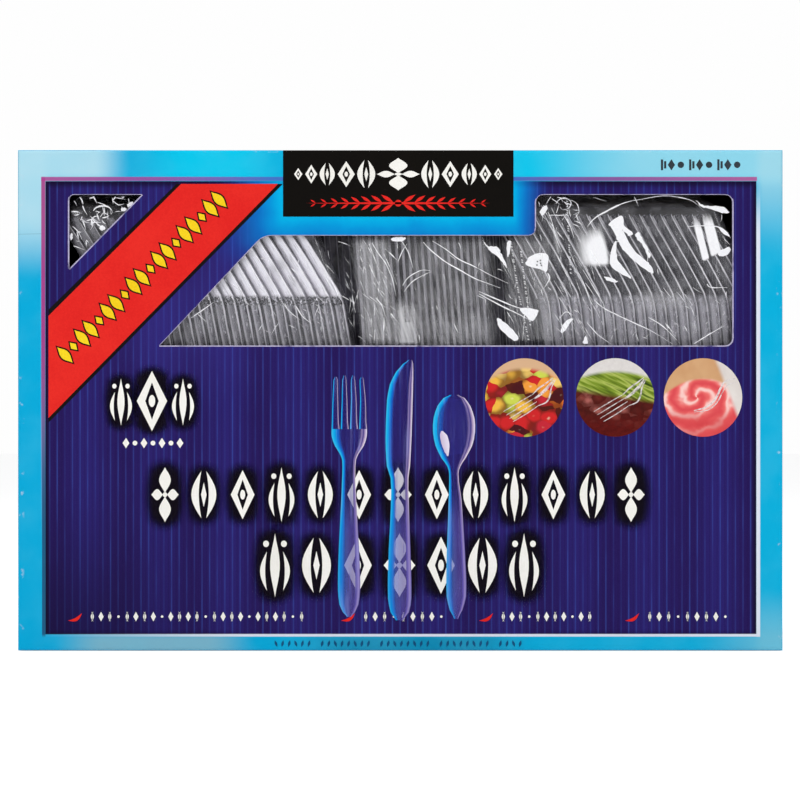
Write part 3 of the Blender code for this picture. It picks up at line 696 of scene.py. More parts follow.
def blade_plastic(name):
    """Clear knives: fine pale and dark lines in a violet grey, unlike from piece to piece, with a painted highlight
    along each flange's lip.
    """
    paint = Paint(name)
    x, y, z, vector = paint.place()
    px, py, pz = paint.spot()
    edge = paint.attribute("edge")
    streak = paint.noise(paint.vector(px * 900.0, y * 300.0, pz * 26.0), 1.0, 3.0, 0.65)
    patch = paint.noise(paint.vector(px * 34.0, 0.0, pz * 20.0), 1.0, 2.0)
    tint = paint.mix(paint.step(streak, 0.3, 0.7), grey(100), grey(156))
    tint = paint.mix(paint.step(patch, 0.4, 0.7) * 0.4, tint, grey(166))
    # Painted highlight along the flanges' lips, by the 'edge' attribute.
    tint = paint.mix(paint.step(edge, 0.8, 0.95) * 0.6, tint, grey(226))
    body = paint.principled(tint, 0.2, paint.bump(streak, 0.2, 0.3 * MM), IOR=1.57)
    amount = paint.math("MINIMUM", edge * 0.4 + paint.facing(0.42) * 0.3 + 0.45, 0.95)
    return paint.done(paint.see_through(amount, body, rgb(214, 212, 222)))


def pale_rim(name, low, high, opacity):
    """Cut and moulded edges, which catch the light along their whole length."""
    paint = Paint(name)
    px, py, pz = paint.spot()
    flow = paint.noise(paint.vector(px * 260.0, py * 300.0, pz * 60.0), 1.0, 3.0, 0.6)
    tint = paint.mix(paint.step(flow, 0.34, 0.68), grey(low), grey(high))
    body = paint.principled(tint, 0.2, IOR=1.57)
    return paint.done(paint.see_through(paint.math("ADD", opacity), body, rgb(226, 224, 232)))


# Greys across a fork's wall from its fold to its lip: (place, level); painted highlight and painted shade, lighter on
# the left pack and darker on the right, as lit and shaded copies of one plastic
WALL_GREYS = {
    "left_head": [(0.0, 80), (0.06, 244), (0.17, 222), (0.3, 132), (0.55, 84), (0.84, 58), (0.92, 200), (1.0, 230)],
    "left_tines": [(0.0, 110), (0.06, 238), (0.2, 250), (0.66, 240), (0.9, 252), (1.0, 252)],
    "right_head": [(0.0, 60), (0.06, 186), (0.2, 170), (0.5, 146), (0.8, 78), (0.92, 150), (1.0, 190)],
    "right_tines": [(0.0, 22), (0.06, 48), (0.3, 30), (0.86, 28), (0.94, 220), (1.0, 252)],
}
# Dark and bright specks at the tine roots, and fine bright specks on the tines: painted shade and glints.
ROOT_STRENGTH = {"left": 1.0, "right": 0.3}
TINE_PAINTED_GLINTS = {"left": 0.5, "right": 0.14}
CORNER_SHADE_U = 152.0


def dress_forks():
    rim = pale_rim("clear_plastic_rim", 150, 250, 0.85)
    for side, lean, first in (("left", LEFT_LEAN, 1), ("right", RIGHT_LEAN, FORKS_PER_PACK + 1)):
        ramps = [[(place, grey(level)) for place, level in WALL_GREYS[f"{side}_{zone}"]]
                 for zone in ("head", "tines")]
        clear = fork_plastic(f"clear_plastic_{side}", *ramps, ROOT_STRENGTH[side], TINE_PAINTED_GLINTS[side])
        surface = fork_surface(f"{side}_fork_sheet", lean)
        smooth(surface)
        surface.materials.append(clear)
        surface.materials.append(rim)
        reach = max(vert.co.x for vert in surface.vertices)
        for number in range(first, first + FORKS_PER_PACK):
            node = f"fork_{number:02d}"
            low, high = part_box(node)
            origin = (high.x - reach - WALL * 0.35, (low.y + high.y) / 2.0, low.z)
            fork = put(f"clear_{node}", surface, origin)
            thicken(fork, WALL)
            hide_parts(node)
            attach(fork, "root")


def dress_knives():
    surface = knife_surface("knife_sheet")
    smooth(surface)
    surface.materials.append(blade_plastic("clear_blade"))
    surface.materials.append(pale_rim("clear_blade_rim", 122, 176, 0.7))
    low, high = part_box("knives")
    reach = max(vert.co.x for vert in surface.vertices)
    last = high.x - reach - WALL * 0.35
    y = low.y + 10.5 * MM
    for i in range(KNIFE_COUNT):
        knife = put(f"knife_{i + 1:02d}", surface, (last - (KNIFE_COUNT - 1 - i) * KNIFE_PITCH, y, low.z))
        thicken(knife, WALL)
        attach(knife, "root")
        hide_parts("knives")


# The windows' outlines on the picture's grid
LARGE_WINDOW = [(159.4, 345.5), (262.8, 236.5), (535.0, 236.5), (535.0, 194.5), (732.4, 194.5), (732.4, 345.5)]
CORNER_WINDOW = [(69.0, 194.3), (141.6, 194.3), (69.0, 268.0)]


def inside_depth(u, v, outline):
    """How far a point lies inside an outline, in pixels, or 0 outside it."""
    inside = False
    nearest = 1.0e9
    for (ua, va), (ub, vb) in zip(outline, outline[1:] + outline[:1]):
        if (va > v) != (vb > v) and u < ua + (v - va) * (ub - ua) / (vb - va):
            inside = not inside
        du, dv = ub - ua, vb - va
        part = max(0.0, min(1.0, ((u - ua) * du + (v - va) * dv) / (du * du + dv * dv)))
        nearest = min(nearest, math.hypot(u - ua - part * du, v - va - part * dv))
    return nearest if inside else 0.0


def window_depth(x, z):
    u, v = x / PIXEL_X + MIDDLE_U, BOTTOM_V - z / PIXEL_Z
    return max(inside_depth(u, v, LARGE_WINDOW), inside_depth(u, v, CORNER_WINDOW))


def section(node, z):
    """Lowest and highest x and y of a node where it crosses a height."""
    mesh = NODES[node].data
    xs, ys = [], []
    for edge in mesh.edges:
        a, b = (mesh.vertices[i].co for i in edge.vertices)
        if (a.z - z) * (b.z - z) <= 0.0 and abs(a.z - b.z) > 1e-7:
            part = (z - a.z) / (b.z - a.z)
            point = a.lerp(b, part)
            xs.append(point.x)
            ys.append(point.y)
    return min(xs), max(xs), min(ys), max(ys)


def crinkle(x, z, seed):
    """Height of crumpled film, 0 to 1: sharp ridges in two directions over soft folds."""
    total = 0.0
    for scale, lean, weight in ((95.0, 0.5, 0.42), (210.0, -0.7, 0.34), (430.0, 0.25, 0.24)):
        u = (x * math.cos(lean) + z * math.sin(lean)) * scale
        w = (z * math.cos(lean) - x * math.sin(lean)) * scale * 0.45
        ridge = 1.0 - abs(noise.noise(Vector((u, w, seed + scale * 0.01)))) * 2.2
        total += weight * max(0.0, ridge) ** 2
    return total


def film_pouch(node, seed, columns):
    """Crumpled film skin on the outline of its solid, bulging a little into the windows."""
    low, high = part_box(node)
    rows = 120
    bm = bmesh.new()
    rings = []
    for i in range(rows + 1):
        z = low.z + (high.z - low.z) * (0.002 + 0.996 * i / rows)
        x_low, x_high, y_low, y_high = section(node, z)
        ring = []
        radius = min(3.0 * MM, (y_high - y_low) * 0.3)
        front = [(x_low + radius + (x_high - x_low - 2 * radius) * k / columns, y_low, 0.0, -1.0)
                 for k in range(columns + 1)]
        right = [(x_high, y_low + radius + (y_high - y_low - 2 * radius) * k / 6, 1.0, 0.0) for k in range(7)]
        back = [(x_high - radius - (x_high - x_low - 2 * radius) * k / 24, y_high, 0.0, 1.0)
                for k in range(25)]
        left = [(x_low, y_high - radius - (y_high - y_low - 2 * radius) * k / 6, -1.0, 0.0) for k in range(7)]
        for x, y, nx, ny in front + right + back + left:
            fold = crinkle(x + y * 0.6, z, seed)
            sink = 0.62 * MM * (1.0 - fold)
            if ny < 0.0:
                sink -= 0.85 * MM * ease(window_depth(x, z), 3.0, 22.0) * (0.35 + 0.65 * fold)
            ring.append(bm.verts.new((x - nx * sink, y - ny * sink, z)))
        rings.append(ring)
    for lower, upper in zip(rings, rings[1:]):
        for k in range(len(lower)):
            j = (k + 1) % len(lower)
            bm.faces.new((lower[k], lower[j], upper[j], upper[k]))
    bm.faces.new(list(reversed(rings[0])))
    bm.faces.new(rings[-1])
    mesh = bpy.data.meshes.new(f"{node}_skin")
    bm.to_mesh(mesh)
    bm.free()
    mesh.shade_smooth()
    return mesh


def film_material():
    """Thin clear film: nearly all light passes, the rest is a clear gloss and a faint milky haze."""
    paint = Paint("clear_film")
    x, y, z, vector = paint.place()
    fine = paint.noise(vector, 520.0, 3.0, 0.6, 0.6)
    coarse = paint.noise(vector, 150.0, 2.0, 0.5, 0.4)
    bump = paint.bump(fine * 0.4 + coarse, 0.5, 0.5 * MM)
    gloss = paint.node("ShaderNodeBsdfGlossy")
    gloss.inputs["Roughness"].default_value = 0.16
    gloss.inputs["Color"].default_value = rgb(250, 250, 255)
    paint.feed(gloss.inputs["Normal"], bump)
    milk = paint.principled(paint.mix(fine, rgb(206, 204, 214), rgb(244, 244, 248)), 0.35)
    haze = paint.step(coarse, 0.36, 0.66) * FILM_HAZE + FILM_HAZE * 0.4
    seen = paint.see_through(haze, milk, rgb(255, 255, 255))
    grazing = paint.math("POWER", paint.facing(0.5), 4.0)
    mirror = paint.math("MINIMUM", grazing * 0.8 + 0.05, 0.85) * (1.0 - paint.shadow_ray() * SHADOW_EASE)
    return paint.done(paint.blend(mirror, seen, Wire(paint, gloss.outputs[0])))


FILM_HAZE = 0.07


def dress_films():
    film = film_material()
    for node, seed, columns in (("left_fork_film", 3.1, 110), ("knife_film", 8.4, 80),
                                ("right_fork_film", 5.7, 110)):
        mesh = film_pouch(node, seed, columns)
        mesh.materials.append(film)
        skin = put(f"{node}_skin", mesh)
        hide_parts(node)
        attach(skin, "root")


def packed_stack_material(name, pitch, lean):
    """Pieces seen through film: pale edges at the nest's pitch, painted highlights over a dark ground of painted shade,
    under a crumpled gloss.
    """
    paint = Paint(name)
    x, y, z, vector = paint.place()
    sway = paint.noise(vector, 40.0, 2.0) * 0.6
    fraction = paint.math("FRACT", (x + z * math.tan(lean)) / pitch + sway * 0.25)
    line = paint.largest(paint.band(fraction, 0.06, 0.14, 0.05), paint.band(fraction, 0.5, 0.56, 0.05) * 0.6)
    shade = paint.noise(paint.vector(x * 300.0, y * 300.0, z * 40.0), 1.0, 3.0)
    ground = paint.mix(paint.step(shade, 0.3, 0.75), rgb(40, 38, 46), rgb(98, 95, 108))
    colour = paint.mix(line * 0.75, ground, rgb(170, 168, 180))
    bump = paint.bump(paint.noise(vector, 260.0, 3.0, 0.6, 0.8), 0.6, 0.8 * MM)
    return paint.done(paint.principled(colour, 0.2, bump, IOR=1.5))


def dress_rear_packs():
    looks = {"fork_pack": packed_stack_material("film_over_forks", 5.0 * MM, LEFT_LEAN),
             "knife_pack": packed_stack_material("film_over_knives", KNIFE_PITCH, KNIFE_LEAN),
             "spoon_pack": packed_stack_material("film_over_spoons", 4.0 * MM, 0.0)}
    for name, node in NODES.items():
        kind = name.rsplit("_", 1)[0]
        if kind in looks:
            node.data.materials.clear()
            node.data.materials.append(looks[kind])


# Print laid over the ground: every motif is generic, in the colours and sizes of the printed panel
OFF_WHITE = ((247, 245, 240), (238, 236, 228))
CREAM_YELLOW = ((250, 222, 40), (240, 196, 24))
RED = ((233, 46, 38), (222, 34, 32))
BLACK = ((16, 12, 12), (24, 20, 20))


def ink(name, colours, roughness=0.34):
    """Printed ink with a faint uneven lay-down."""
    paint = Paint(name)
    vector = paint.place()[3]
    lay = paint.noise(vector, 1400.0, 3.0, 0.6) * 0.5 + paint.noise(vector, 60.0, 2.0) * 0.5
    colour = paint.mix(paint.step(lay, 0.3, 0.7), rgb(*colours[0]), rgb(*colours[1]))
    return paint.done(paint.principled(colour, roughness, Specular_IOR_Level=GLOSS_LEVEL))


def on_front(u, v, layer):
    return (at_x(u), FRONT - layer * DECAL_STEP, at_z(v))


def on_back(u, v, layer):
    return (-at_x(u), BACK + layer * DECAL_STEP, at_z(v))


def on_end(side):
    """An end panel, whose middle is at the picture's middle column."""
    def placed(u, v, layer):
        return (side * (HALF_WIDTH + layer * DECAL_STEP), side * at_x(u), at_z(v))
    return placed


def on_lid(u, v, layer):
    return (at_x(u), FRONT + (BOTTOM_V - v) * PIXEL_X, HEIGHT + layer * DECAL_STEP)


def shapes_mesh(name, shapes, layer, placed=on_front):
    """Flat mesh of closed outlines given as (u, v) points."""
    bm = bmesh.new()
    for outline in shapes:
        bm.faces.new([bm.verts.new(placed(u, v, layer)) for u, v in outline])
    outward = Vector(placed(0.0, 0.0, 1.0)) - Vector(placed(0.0, 0.0, 0.0))
    for face in bm.faces:
        face.normal_update()
        if face.normal.dot(outward) < 0.0:
            face.normal_flip()
    mesh = bpy.data.meshes.new(name)
    bm.to_mesh(mesh)
    bm.free()
    return mesh


def printed(name, shapes, material, layer=1, placed=on_front):
    mesh = shapes_mesh(name, shapes, layer, placed)
    mesh.materials.append(material)
    obj = put(name, mesh)
    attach(obj, "root")
    return obj


def turned(points, u, v, angle):
    """Points about the origin, turned and moved to (u, v)."""
    c, s = math.cos(angle), math.sin(angle)
    return [(u + x * c - y * s, v + x * s + y * c) for x, y in points]


def oval(u, v, half_u, half_v, angle=0.0, count=20):
    points = [(half_u * math.cos(2 * math.pi * i / count), half_v * math.sin(2 * math.pi * i / count))
              for i in range(count)]
    return turned(points, u, v, angle)


def lozenge(u, v, half_u, half_v, angle=0.0):
    return turned([(0, -half_v), (half_u, 0), (0, half_v), (-half_u, 0)], u, v, angle)


def bar(u, v, half_u, half_v, angle=0.0):
    return turned([(-half_u, -half_v), (half_u, -half_v), (half_u, half_v), (-half_u, half_v)], u, v, angle)


def leaf(u, v, half_u, half_v, angle=0.0, count=9):
    """Pointed oval with its tips along its own v."""
    side = [(half_u * math.sin(math.pi * i / count) ** 1.3, -half_v + 2 * half_v * i / count)
            for i in range(count + 1)]
    return turned(side + [(-x, y) for x, y in reversed(side[1:-1])], u, v, angle)


def crescent(u, v, half_u, half_v, angle=0.0, count=10):
    """Curved leaf, thick in the middle, bowed to one side."""
    outer = [(half_u * math.sin(math.pi * i / count), -half_v + 2 * half_v * i / count)
             for i in range(count + 1)]
    inner = [(half_u * 0.25 * math.sin(math.pi * i / count), -half_v + 2 * half_v * i / count)
             for i in range(1, count)]
    return turned(outer + list(reversed(inner)), u, v, angle)


def ornament(kind, u, v, half_u, half_v):
    """One of four carved-looking motifs in a box about (u, v)."""
    if kind == 0:
        return [crescent(u - half_u * 0.2, v, -half_u * 0.8, half_v * 0.96),
                crescent(u + half_u * 0.2, v, half_u * 0.8, half_v * 0.96),
                lozenge(u, v, half_u * 0.22, half_v * 0.5)]
    if kind == 1:
        ring = []
        for side in (-1, 1):
            ring.append([(u, v - half_v), (u + side * half_u * 0.95, v), (u, v + half_v),
                         (u, v + half_v * 0.62), (u + side * half_u * 0.42, v), (u, v - half_v * 0.62)])
        return ring + [oval(u, v, half_u * 0.2, half_v * 0.2)]
    if kind == 2:
        petals = [leaf(u, v - half_v * 0.52, half_u * 0.42, half_v * 0.46),
                  leaf(u, v + half_v * 0.52, half_u * 0.42, half_v * 0.46),
                  leaf(u - half_u * 0.56, v, half_v * 0.2, half_u * 0.42, math.pi / 2),
                  leaf(u + half_u * 0.56, v, half_v * 0.2, half_u * 0.42, math.pi / 2)]
        return petals + [oval(u, v, half_u * 0.16, half_v * 0.09)]
    sweep = [leaf(u, v, half_u * 0.3, half_v * 0.98)]
    for side in (-1, 1):
        sweep.append(crescent(u + side * half_u * 0.5, v + half_v * 0.18, side * half_u * 0.42, half_v * 0.6))
        sweep.append(oval(u + side * half_u * 0.55, v - half_v * 0.66, half_u * 0.18, half_v * 0.1))
    return sweep


def halo(name, boxes, layer, placed=on_front, reach=10.0):
    """Soft dark cloud behind each motif: dark at its middle, clear at its rim."""
    mesh = bpy.data.meshes.new(name)
    bm = bmesh.new()
    fade = bm.verts.layers.float.new("fade")
    count = 24
    for u, v, half_u, half_v in boxes:
        rings = []
        for grow, value in ((-half_u * 0.5, 1.0), (-1.0, 0.9), (reach * 0.25, 0.6), (reach * 0.55, 0.24),
                            (reach, 0.0)):
            ring = []
            for i in range(count):
                turn = 2.0 * math.pi * i / count
                c, s = math.cos(turn), math.sin(turn)
                squash = 1.0 / max(abs(c), abs(s)) ** 0.3
                vert = bm.verts.new(placed(u + c * (half_u + grow) * squash,
                                           v + s * (half_v + grow) * squash, layer))
                vert[fade] = value
                ring.append(vert)
            rings.append(ring)
        bm.faces.new(rings[0])
        for inner, outer in zip(rings, rings[1:]):
            for i in range(count):
                j = (i + 1) % count
                bm.faces.new((inner[i], inner[j], outer[j], outer[i]))
    bm.to_mesh(mesh)
    bm.free()
    paint = Paint(name)
    grain = paint.noise(paint.place()[3], 900.0, 2.0)
    dark = paint.mix(grain, rgb(8, 4, 10), rgb(18, 11, 24))
    ground = paint.principled(dark, 0.36, Specular_IOR_Level=GLOSS_LEVEL)
    amount = paint.attribute("fade") * 0.96
    mesh.materials.append(paint.done(paint.blend(amount, paint.transparent(rgb(255, 255, 255)), ground)))
    obj = put(name, mesh)
    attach(obj, "root")


# Kinds of motif from the middle of a row outwards
MOTIF_ORDER = (2, 1, 0, 3, 1, 0, 2)


# Rows of large motifs: how many, first and last u, v, half sizes
TITLE_ROWS = ((13, 165.0, 631.0, 494.5, 12.5, 24.5), (7, 275.0, 524.0, 565.0, 14.5, 28.5))


def title_boxes(rows):
    """Kind, centre and half sizes of the motifs, each row the same from both ends."""
    boxes = []
    for count, start, end, v, half_u, half_v in rows:
        middle = (count - 1) // 2
        for i in range(count):
            aside = abs(i - middle)
            tall = aside % 3 == 0
            boxes.append((MOTIF_ORDER[aside], start + (end - start) * i / (count - 1), v,
                          half_u * (1.12 if tall else 1.0), half_v * (1.14 if tall else 1.0)))
    return boxes


def print_title(suffix, placed, inks, rows=TITLE_ROWS):
    boxes = title_boxes(rows)
    motifs = []
    for box in boxes:
        motifs += ornament(*box)
    halo(f"title_shade{suffix}", [box[1:] for box in boxes], 3, placed)
    printed(f"title_ornaments{suffix}", motifs, inks["white"], 4, placed)


def print_count(suffix, placed, inks):
    """Three large motifs over a row of beads, in place of a number."""
    boxes = [(121.0, 402.0, 12.0, 24.0), (152.0, 401.0, 16.0, 30.0), (183.0, 402.0, 12.0, 24.0)]
    motifs = []
    for kind, box in zip((3, 1, 3), boxes):
        motifs += ornament(kind, *box)
    for i in range(7):
        motifs.append(lozenge(126.0 + i * 9.0, 443.0, 3.4, 5.2) if i % 2 == 0
                      else oval(126.0 + i * 9.0, 443.0, 2.4, 2.4))
    halo(f"count_shade{suffix}", boxes, 3, placed, 8.0)
    printed(f"count_ornaments{suffix}", motifs, inks["white"], 4, placed)


def print_bottom_row(suffix, placed, inks):
    """Four groups of small motifs, each after a plain red leaf."""
    motifs, leaves = [], []
    for start, end in ((88.0, 306.0), (361.0, 446.0), (499.0, 594.0), (645.0, 730.0)):
        leaves.append(crescent(start - 13.0, 616.5, 4.4, 8.0, math.radians(62.0)))
        number = int((end - start) / 8.6)
        for i in range(number):
            u = start + (end - start) * (i + 0.5) / number
            if i % 5 == 3:
                motifs.append(oval(u, 616.2, 1.3, 1.3, 0.0, 10))
            elif i % 2:
                motifs.append(lozenge(u, 616.2, 2.6, 4.8))
            else:
                motifs.append(crescent(u - 0.8, 616.2, 2.4, 5.0))
                motifs.append(crescent(u + 0.8, 616.2, -2.4, 5.0))
    printed(f"row_ornaments{suffix}", motifs, inks["white"], 4, placed)
    printed(f"row_leaves{suffix}", leaves, inks["red"], 4, placed)
    dashes = [leaf(276.0 + i * 6.6, 643.2, 1.25, 3.6, math.radians(14.0 if i % 3 else -20.0))
              for i in range(38) if i % 9 != 6]
    printed(f"border_dashes{suffix}", dashes, inks["deep_blue"], 2, placed)


BAND_LOWER = [(48.5, 418.0), (48.5, 316.0), (181.0, 184.3), (278.0, 184.3)]
BAND_OUTER = [(48.5, 422.5), (48.5, 309.8), (176.5, 184.3), (282.8, 184.3)]


def print_band(inks):
    """Red slanted band with black outlines and a chain of yellow leaves."""
    printed("band_outline", [BAND_OUTER], inks["black"], 1)
    printed("band", [BAND_LOWER], inks["red"], 2)
    slope = math.atan2(352.0 - 203.0, 216.0 - 68.0)
    black, yellow = [], []
    count = 19
    for i in range(count):
        part = i / (count - 1)
        u, v = 65.0 + part * 154.0, 355.0 - part * 155.0
        if i % 3 == 1:
            black.append(lozenge(u, v, 5.2, 7.4, -slope))
            yellow.append(lozenge(u, v, 3.4, 5.2, -slope))
        else:
            black.append(leaf(u, v, 5.9, 13.4, -slope))
            yellow.append(leaf(u, v, 4.4, 10.8, -slope))
    printed("band_leaf_edges", black, inks["black"], 3)
    printed("band_leaves", yellow, inks["yellow"], 4)


def print_label(inks):
    """Black label: a pale rosette between smaller motifs, over a red sprig of paired leaves."""
    half = (LABEL_RIGHT - LABEL_LEFT) / 2.0
    middle = (LABEL_LEFT + LABEL_RIGHT) / 2.0
    printed("label", [bar(middle, (TOP_V + 0.6 + LABEL_BOTTOM) / 2.0, half, (LABEL_BOTTOM - TOP_V - 0.6) / 2.0)],
            inks["label"], 1)
    row = 174.5
    motifs = ornament(2, middle, row, 22.0, 16.5)
    for side in (-1, 1):
        for kind, away, half_u, half_v in ((0, 32.0, 9.0, 14.5), (1, 52.0, 9.0, 13.0), (0, 71.0, 7.6, 11.5),
                                           (1, 87.0, 6.4, 9.4), (1, 100.0, 4.4, 6.0)):
            motifs += ornament(kind, middle + side * away, row, half_u, half_v)
    printed("label_motifs", motifs, inks["white"], 2)
    printed("label_sprig", sprig(middle, 203.5, 92.0), inks["red"], 2)


def sprig(u, v, reach):
    """Thin level stem with leaves in pairs that shrink towards both ends."""
    shapes = [leaf(u, v, 1.1, reach, math.pi / 2.0), oval(u, v, 3.4, 3.4)]
    for side in (-1, 1):
        for i in range(8):
            away = 11.0 + i * 10.6
            size = 7.4 - i * 0.62
            for above in (-1, 1):
                shapes.append(leaf(u + side * away, v + above * size * 0.62, size * 0.24, size,
                                   -side * above * math.radians(58.0)))
    return shapes


def print_marks(inks):
    """Small dark row in the top border."""
    marks = []
    for i in range(9):
        u = 662.0 + i * 9.4
        if i % 3 == 2:
            marks.append(oval(u, 165.2, 3.2, 3.2))
        elif i % 3 == 1:
            marks.append(lozenge(u, 165.2, 3.6, 5.6))
        else:
            marks.append(bar(u, 165.2, 1.1, 5.4))
            marks.append(bar(u + 3.2, 165.2, 1.1, 3.6))
    printed("border_marks", marks, inks["grey"], 1)


def cutlery_material():
    """Printed glass look: bright cyan at the left edge, the panel showing inside, pale lines at the right."""
    paint = Paint("printed_glass")
    x, y, z, vector = paint.place()
    across = paint.attribute("across")
    v = BOTTOM_V - z / PIXEL_Z
    handle = paint.step(v, 468.0, 545.0)
    streak = paint.noise(paint.vector(x * 420.0, 0.0, z * 30.0), 1.0, 2.0)
    blade = paint.ramp(across, [(0.0, rgb(60, 190, 236)), (0.07, rgb(10, 170, 232)), (0.17, rgb(14, 104, 200)),
                                (0.28, rgb(58, 62, 164)), (0.62, rgb(66, 60, 160)), (0.8, rgb(60, 54, 140)),
                                (0.86, rgb(150, 132, 178)), (0.9, rgb(56, 48, 128)), (0.95, rgb(178, 156, 190)),
                                (1.0, rgb(232, 224, 240))])
    grip = paint.ramp(across, [(0.0, rgb(40, 170, 230)), (0.12, rgb(6, 132, 214)), (0.26, rgb(60, 110, 206)),
                               (0.4, rgb(104, 112, 204)), (0.62, rgb(96, 84, 176)), (0.84, rgb(104, 92, 176)),
                               (0.94, rgb(150, 134, 190)), (1.0, rgb(80, 72, 150))])
    look = paint.mix(handle, blade, grip)
    look = paint.mix(paint.step(streak, 0.5, 0.75) * 0.4, look, rgb(150, 156, 222))
    inner = paint.band(across, 0.24, 0.82, 0.07)
    thin = inner * (0.8 - handle * 0.3) * (1.0 - paint.step(streak, 0.5, 0.75) * 0.3)
    ground = paint.principled(look, 0.34, Specular_IOR_Level=GLOSS_LEVEL)
    return paint.done(paint.blend(1.0 - thin, paint.transparent(rgb(255, 255, 255)), ground))


def silhouette(bm, layer_data, rows, layer, placed, first=0.0, last=1.0):
    """Strip of a silhouette through (v, left, right) rows, with its place across as an attribute."""
    columns = 8
    grid = []
    for v, left, right in rows:
        line = []
        for k in range(columns + 1):
            part = k / columns
            vert = bm.verts.new(placed(left + (right - left) * part, v, layer))
            vert[layer_data] = first + (last - first) * part
            line.append(vert)
        grid.append(line)
    for upper, lower in zip(grid, grid[1:]):
        for k in range(columns):
            bm.faces.new((upper[k], upper[k + 1], lower[k + 1], lower[k]))


def swept(rows, count=30):
    """Rows of (v, left, right) resampled by a smooth curve through them."""
    result = []
    for (a, b), (before, after) in zip(zip(rows, rows[1:]), zip([rows[0]] + rows[:-2], rows[2:] + [rows[-1]])):
        pieces = max(2, int(count * abs(b[0] - a[0]) / abs(rows[-1][0] - rows[0][0])))
        for i in range(pieces):
            t = i / pieces
            point = [a[0] + (b[0] - a[0]) * t]
            for k in (1, 2):
                p0, p1, p2, p3 = before[k], a[k], b[k], after[k]
                point.append(0.5 * (2 * p1 + (p2 - p0) * t + (2 * p0 - 5 * p1 + 4 * p2 - p3) * t * t
                                    + (3 * p1 - p0 - 3 * p2 + p3) * t ** 3))
            result.append(tuple(point))
    return result + [rows[-1]]


PRINTED_FORK = [(429.0, 331.6, 367.0), (437.0, 331.8, 366.6), (446.0, 335.0, 363.6), (453.0, 339.4, 359.0),
                (460.0, 342.2, 355.8), (480.0, 342.0, 355.4), (520.0, 340.2, 357.4), (560.0, 338.4, 359.6),
                (590.0, 338.0, 360.2), (604.0, 339.4, 358.6), (612.0, 343.0, 355.0), (616.5, 347.0, 351.0)]
PRINTED_KNIFE = [(360.0, 408.5, 412.0), (364.0, 403.0, 413.0), (372.0, 396.0, 413.2), (384.0, 390.0, 413.0),
                 (400.0, 387.0, 412.6), (440.0, 385.6, 411.4), (466.0, 386.8, 410.0), (478.0, 390.6, 408.4),
                 (500.0, 391.0, 408.8), (560.0, 388.4, 410.8), (598.0, 388.0, 411.4), (612.0, 390.6, 409.0),
                 (620.0, 396.0, 403.0)]
PRINTED_SPOON = [(395.0, 450.0, 458.0), (398.0, 443.6, 464.6), (406.0, 437.4, 470.4), (418.0, 433.6, 474.4),
                 (432.0, 433.0, 475.0), (446.0, 435.6, 472.0), (458.0, 441.4, 465.6), (466.0, 447.2, 460.4),
                 (474.0, 449.2, 458.4), (500.0, 448.6, 461.6), (560.0, 446.6, 465.4), (596.0, 446.6, 466.2),
                 (610.0, 449.8, 462.4), (618.5, 454.4, 458.0)]


def print_cutlery(suffix, placed, material):
    """Generic fork, knife and spoon in a blue glass look."""
    bm = bmesh.new()
    across = bm.verts.layers.float.new("across")
    silhouette(bm, across, swept(PRINTED_FORK), 5, placed)
    for k in range(4):
        base = 331.6 + k * 9.2
        rows = [(375.6 + (k in (0, 3)) * 1.4, base + 3.4 - k * 0.5, base + 5.2 - k * 0.5),
                (380.0, base + 2.0 - k * 0.5, base + 6.0 - k * 0.5), (400.0, base + 1.0, base + 6.4),
                (422.0, base + 0.3, base + 7.0), (429.0, base, base + 7.8)]
        silhouette(bm, across, swept(rows, 14), 5, placed)
    silhouette(bm, across, swept(PRINTED_KNIFE), 5, placed)
    silhouette(bm, across, swept(PRINTED_SPOON), 5, placed)
    bowl = [(v + (430.0 - v) * 0.14, 454.0 + (left - 454.0) * 0.8, 454.0 + (right - 454.0) * 0.8)
            for v, left, right in PRINTED_SPOON[:7]]
    silhouette(bm, across, swept(bowl), 5.5, placed, 0.8, 0.3)
    gleam = [(431.0, 441.0, 443.0), (435.0, 440.0, 447.0), (444.0, 441.6, 449.4), (452.0, 444.6, 449.0),
             (456.0, 447.0, 448.4)]
    silhouette(bm, across, swept(gleam), 6.0, placed, 0.97, 1.0)
    outward = Vector(placed(0.0, 0.0, 1.0)) - Vector(placed(0.0, 0.0, 0.0))
    for face in bm.faces:
        face.normal_update()
        if face.normal.dot(outward) < 0.0:
            face.normal_flip()
    mesh = bpy.data.meshes.new(f"printed_cutlery{suffix}")
    bm.to_mesh(mesh)
    bm.free()
    mesh.materials.append(material)
    obj = put(f"printed_cutlery{suffix}", mesh)
    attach(obj, "root")


MEDALLION_RADIUS = 39.2
MEDALLIONS = [(524.4, 397.6), (615.0, 397.5), (703.0, 397.5)]


def medallion_place(paint, u, v):
    """Coordinates across a medallion, -1 to 1, and the vector they make."""
    x, y, z, vector = paint.place()
    across = (paint.math("ABSOLUTE", x) - abs(at_x(u))) / (MEDALLION_RADIUS * PIXEL_X)
    up = (z - at_z(v)) / (MEDALLION_RADIUS * PIXEL_Z)
    return across, up, paint.vector(across, up, 0.0)


def cells(paint, vector, scale, stops):
    """Rounded bits in mixed colours: a colour, and how far each point is from its bit."""
    node = paint.node("ShaderNodeTexVoronoi", feature="F1")
    paint.feed(node.inputs["Vector"], vector)
    node.inputs["Scale"].default_value = scale
    split = paint.node("ShaderNodeSeparateColor")
    paint.feed(split.inputs[0], Wire(paint, node.outputs["Color"]))
    colour = paint.ramp(Wire(paint, split.outputs[0]), stops, "CONSTANT")
    distance = Wire(paint, node.outputs["Distance"])
    return colour, distance


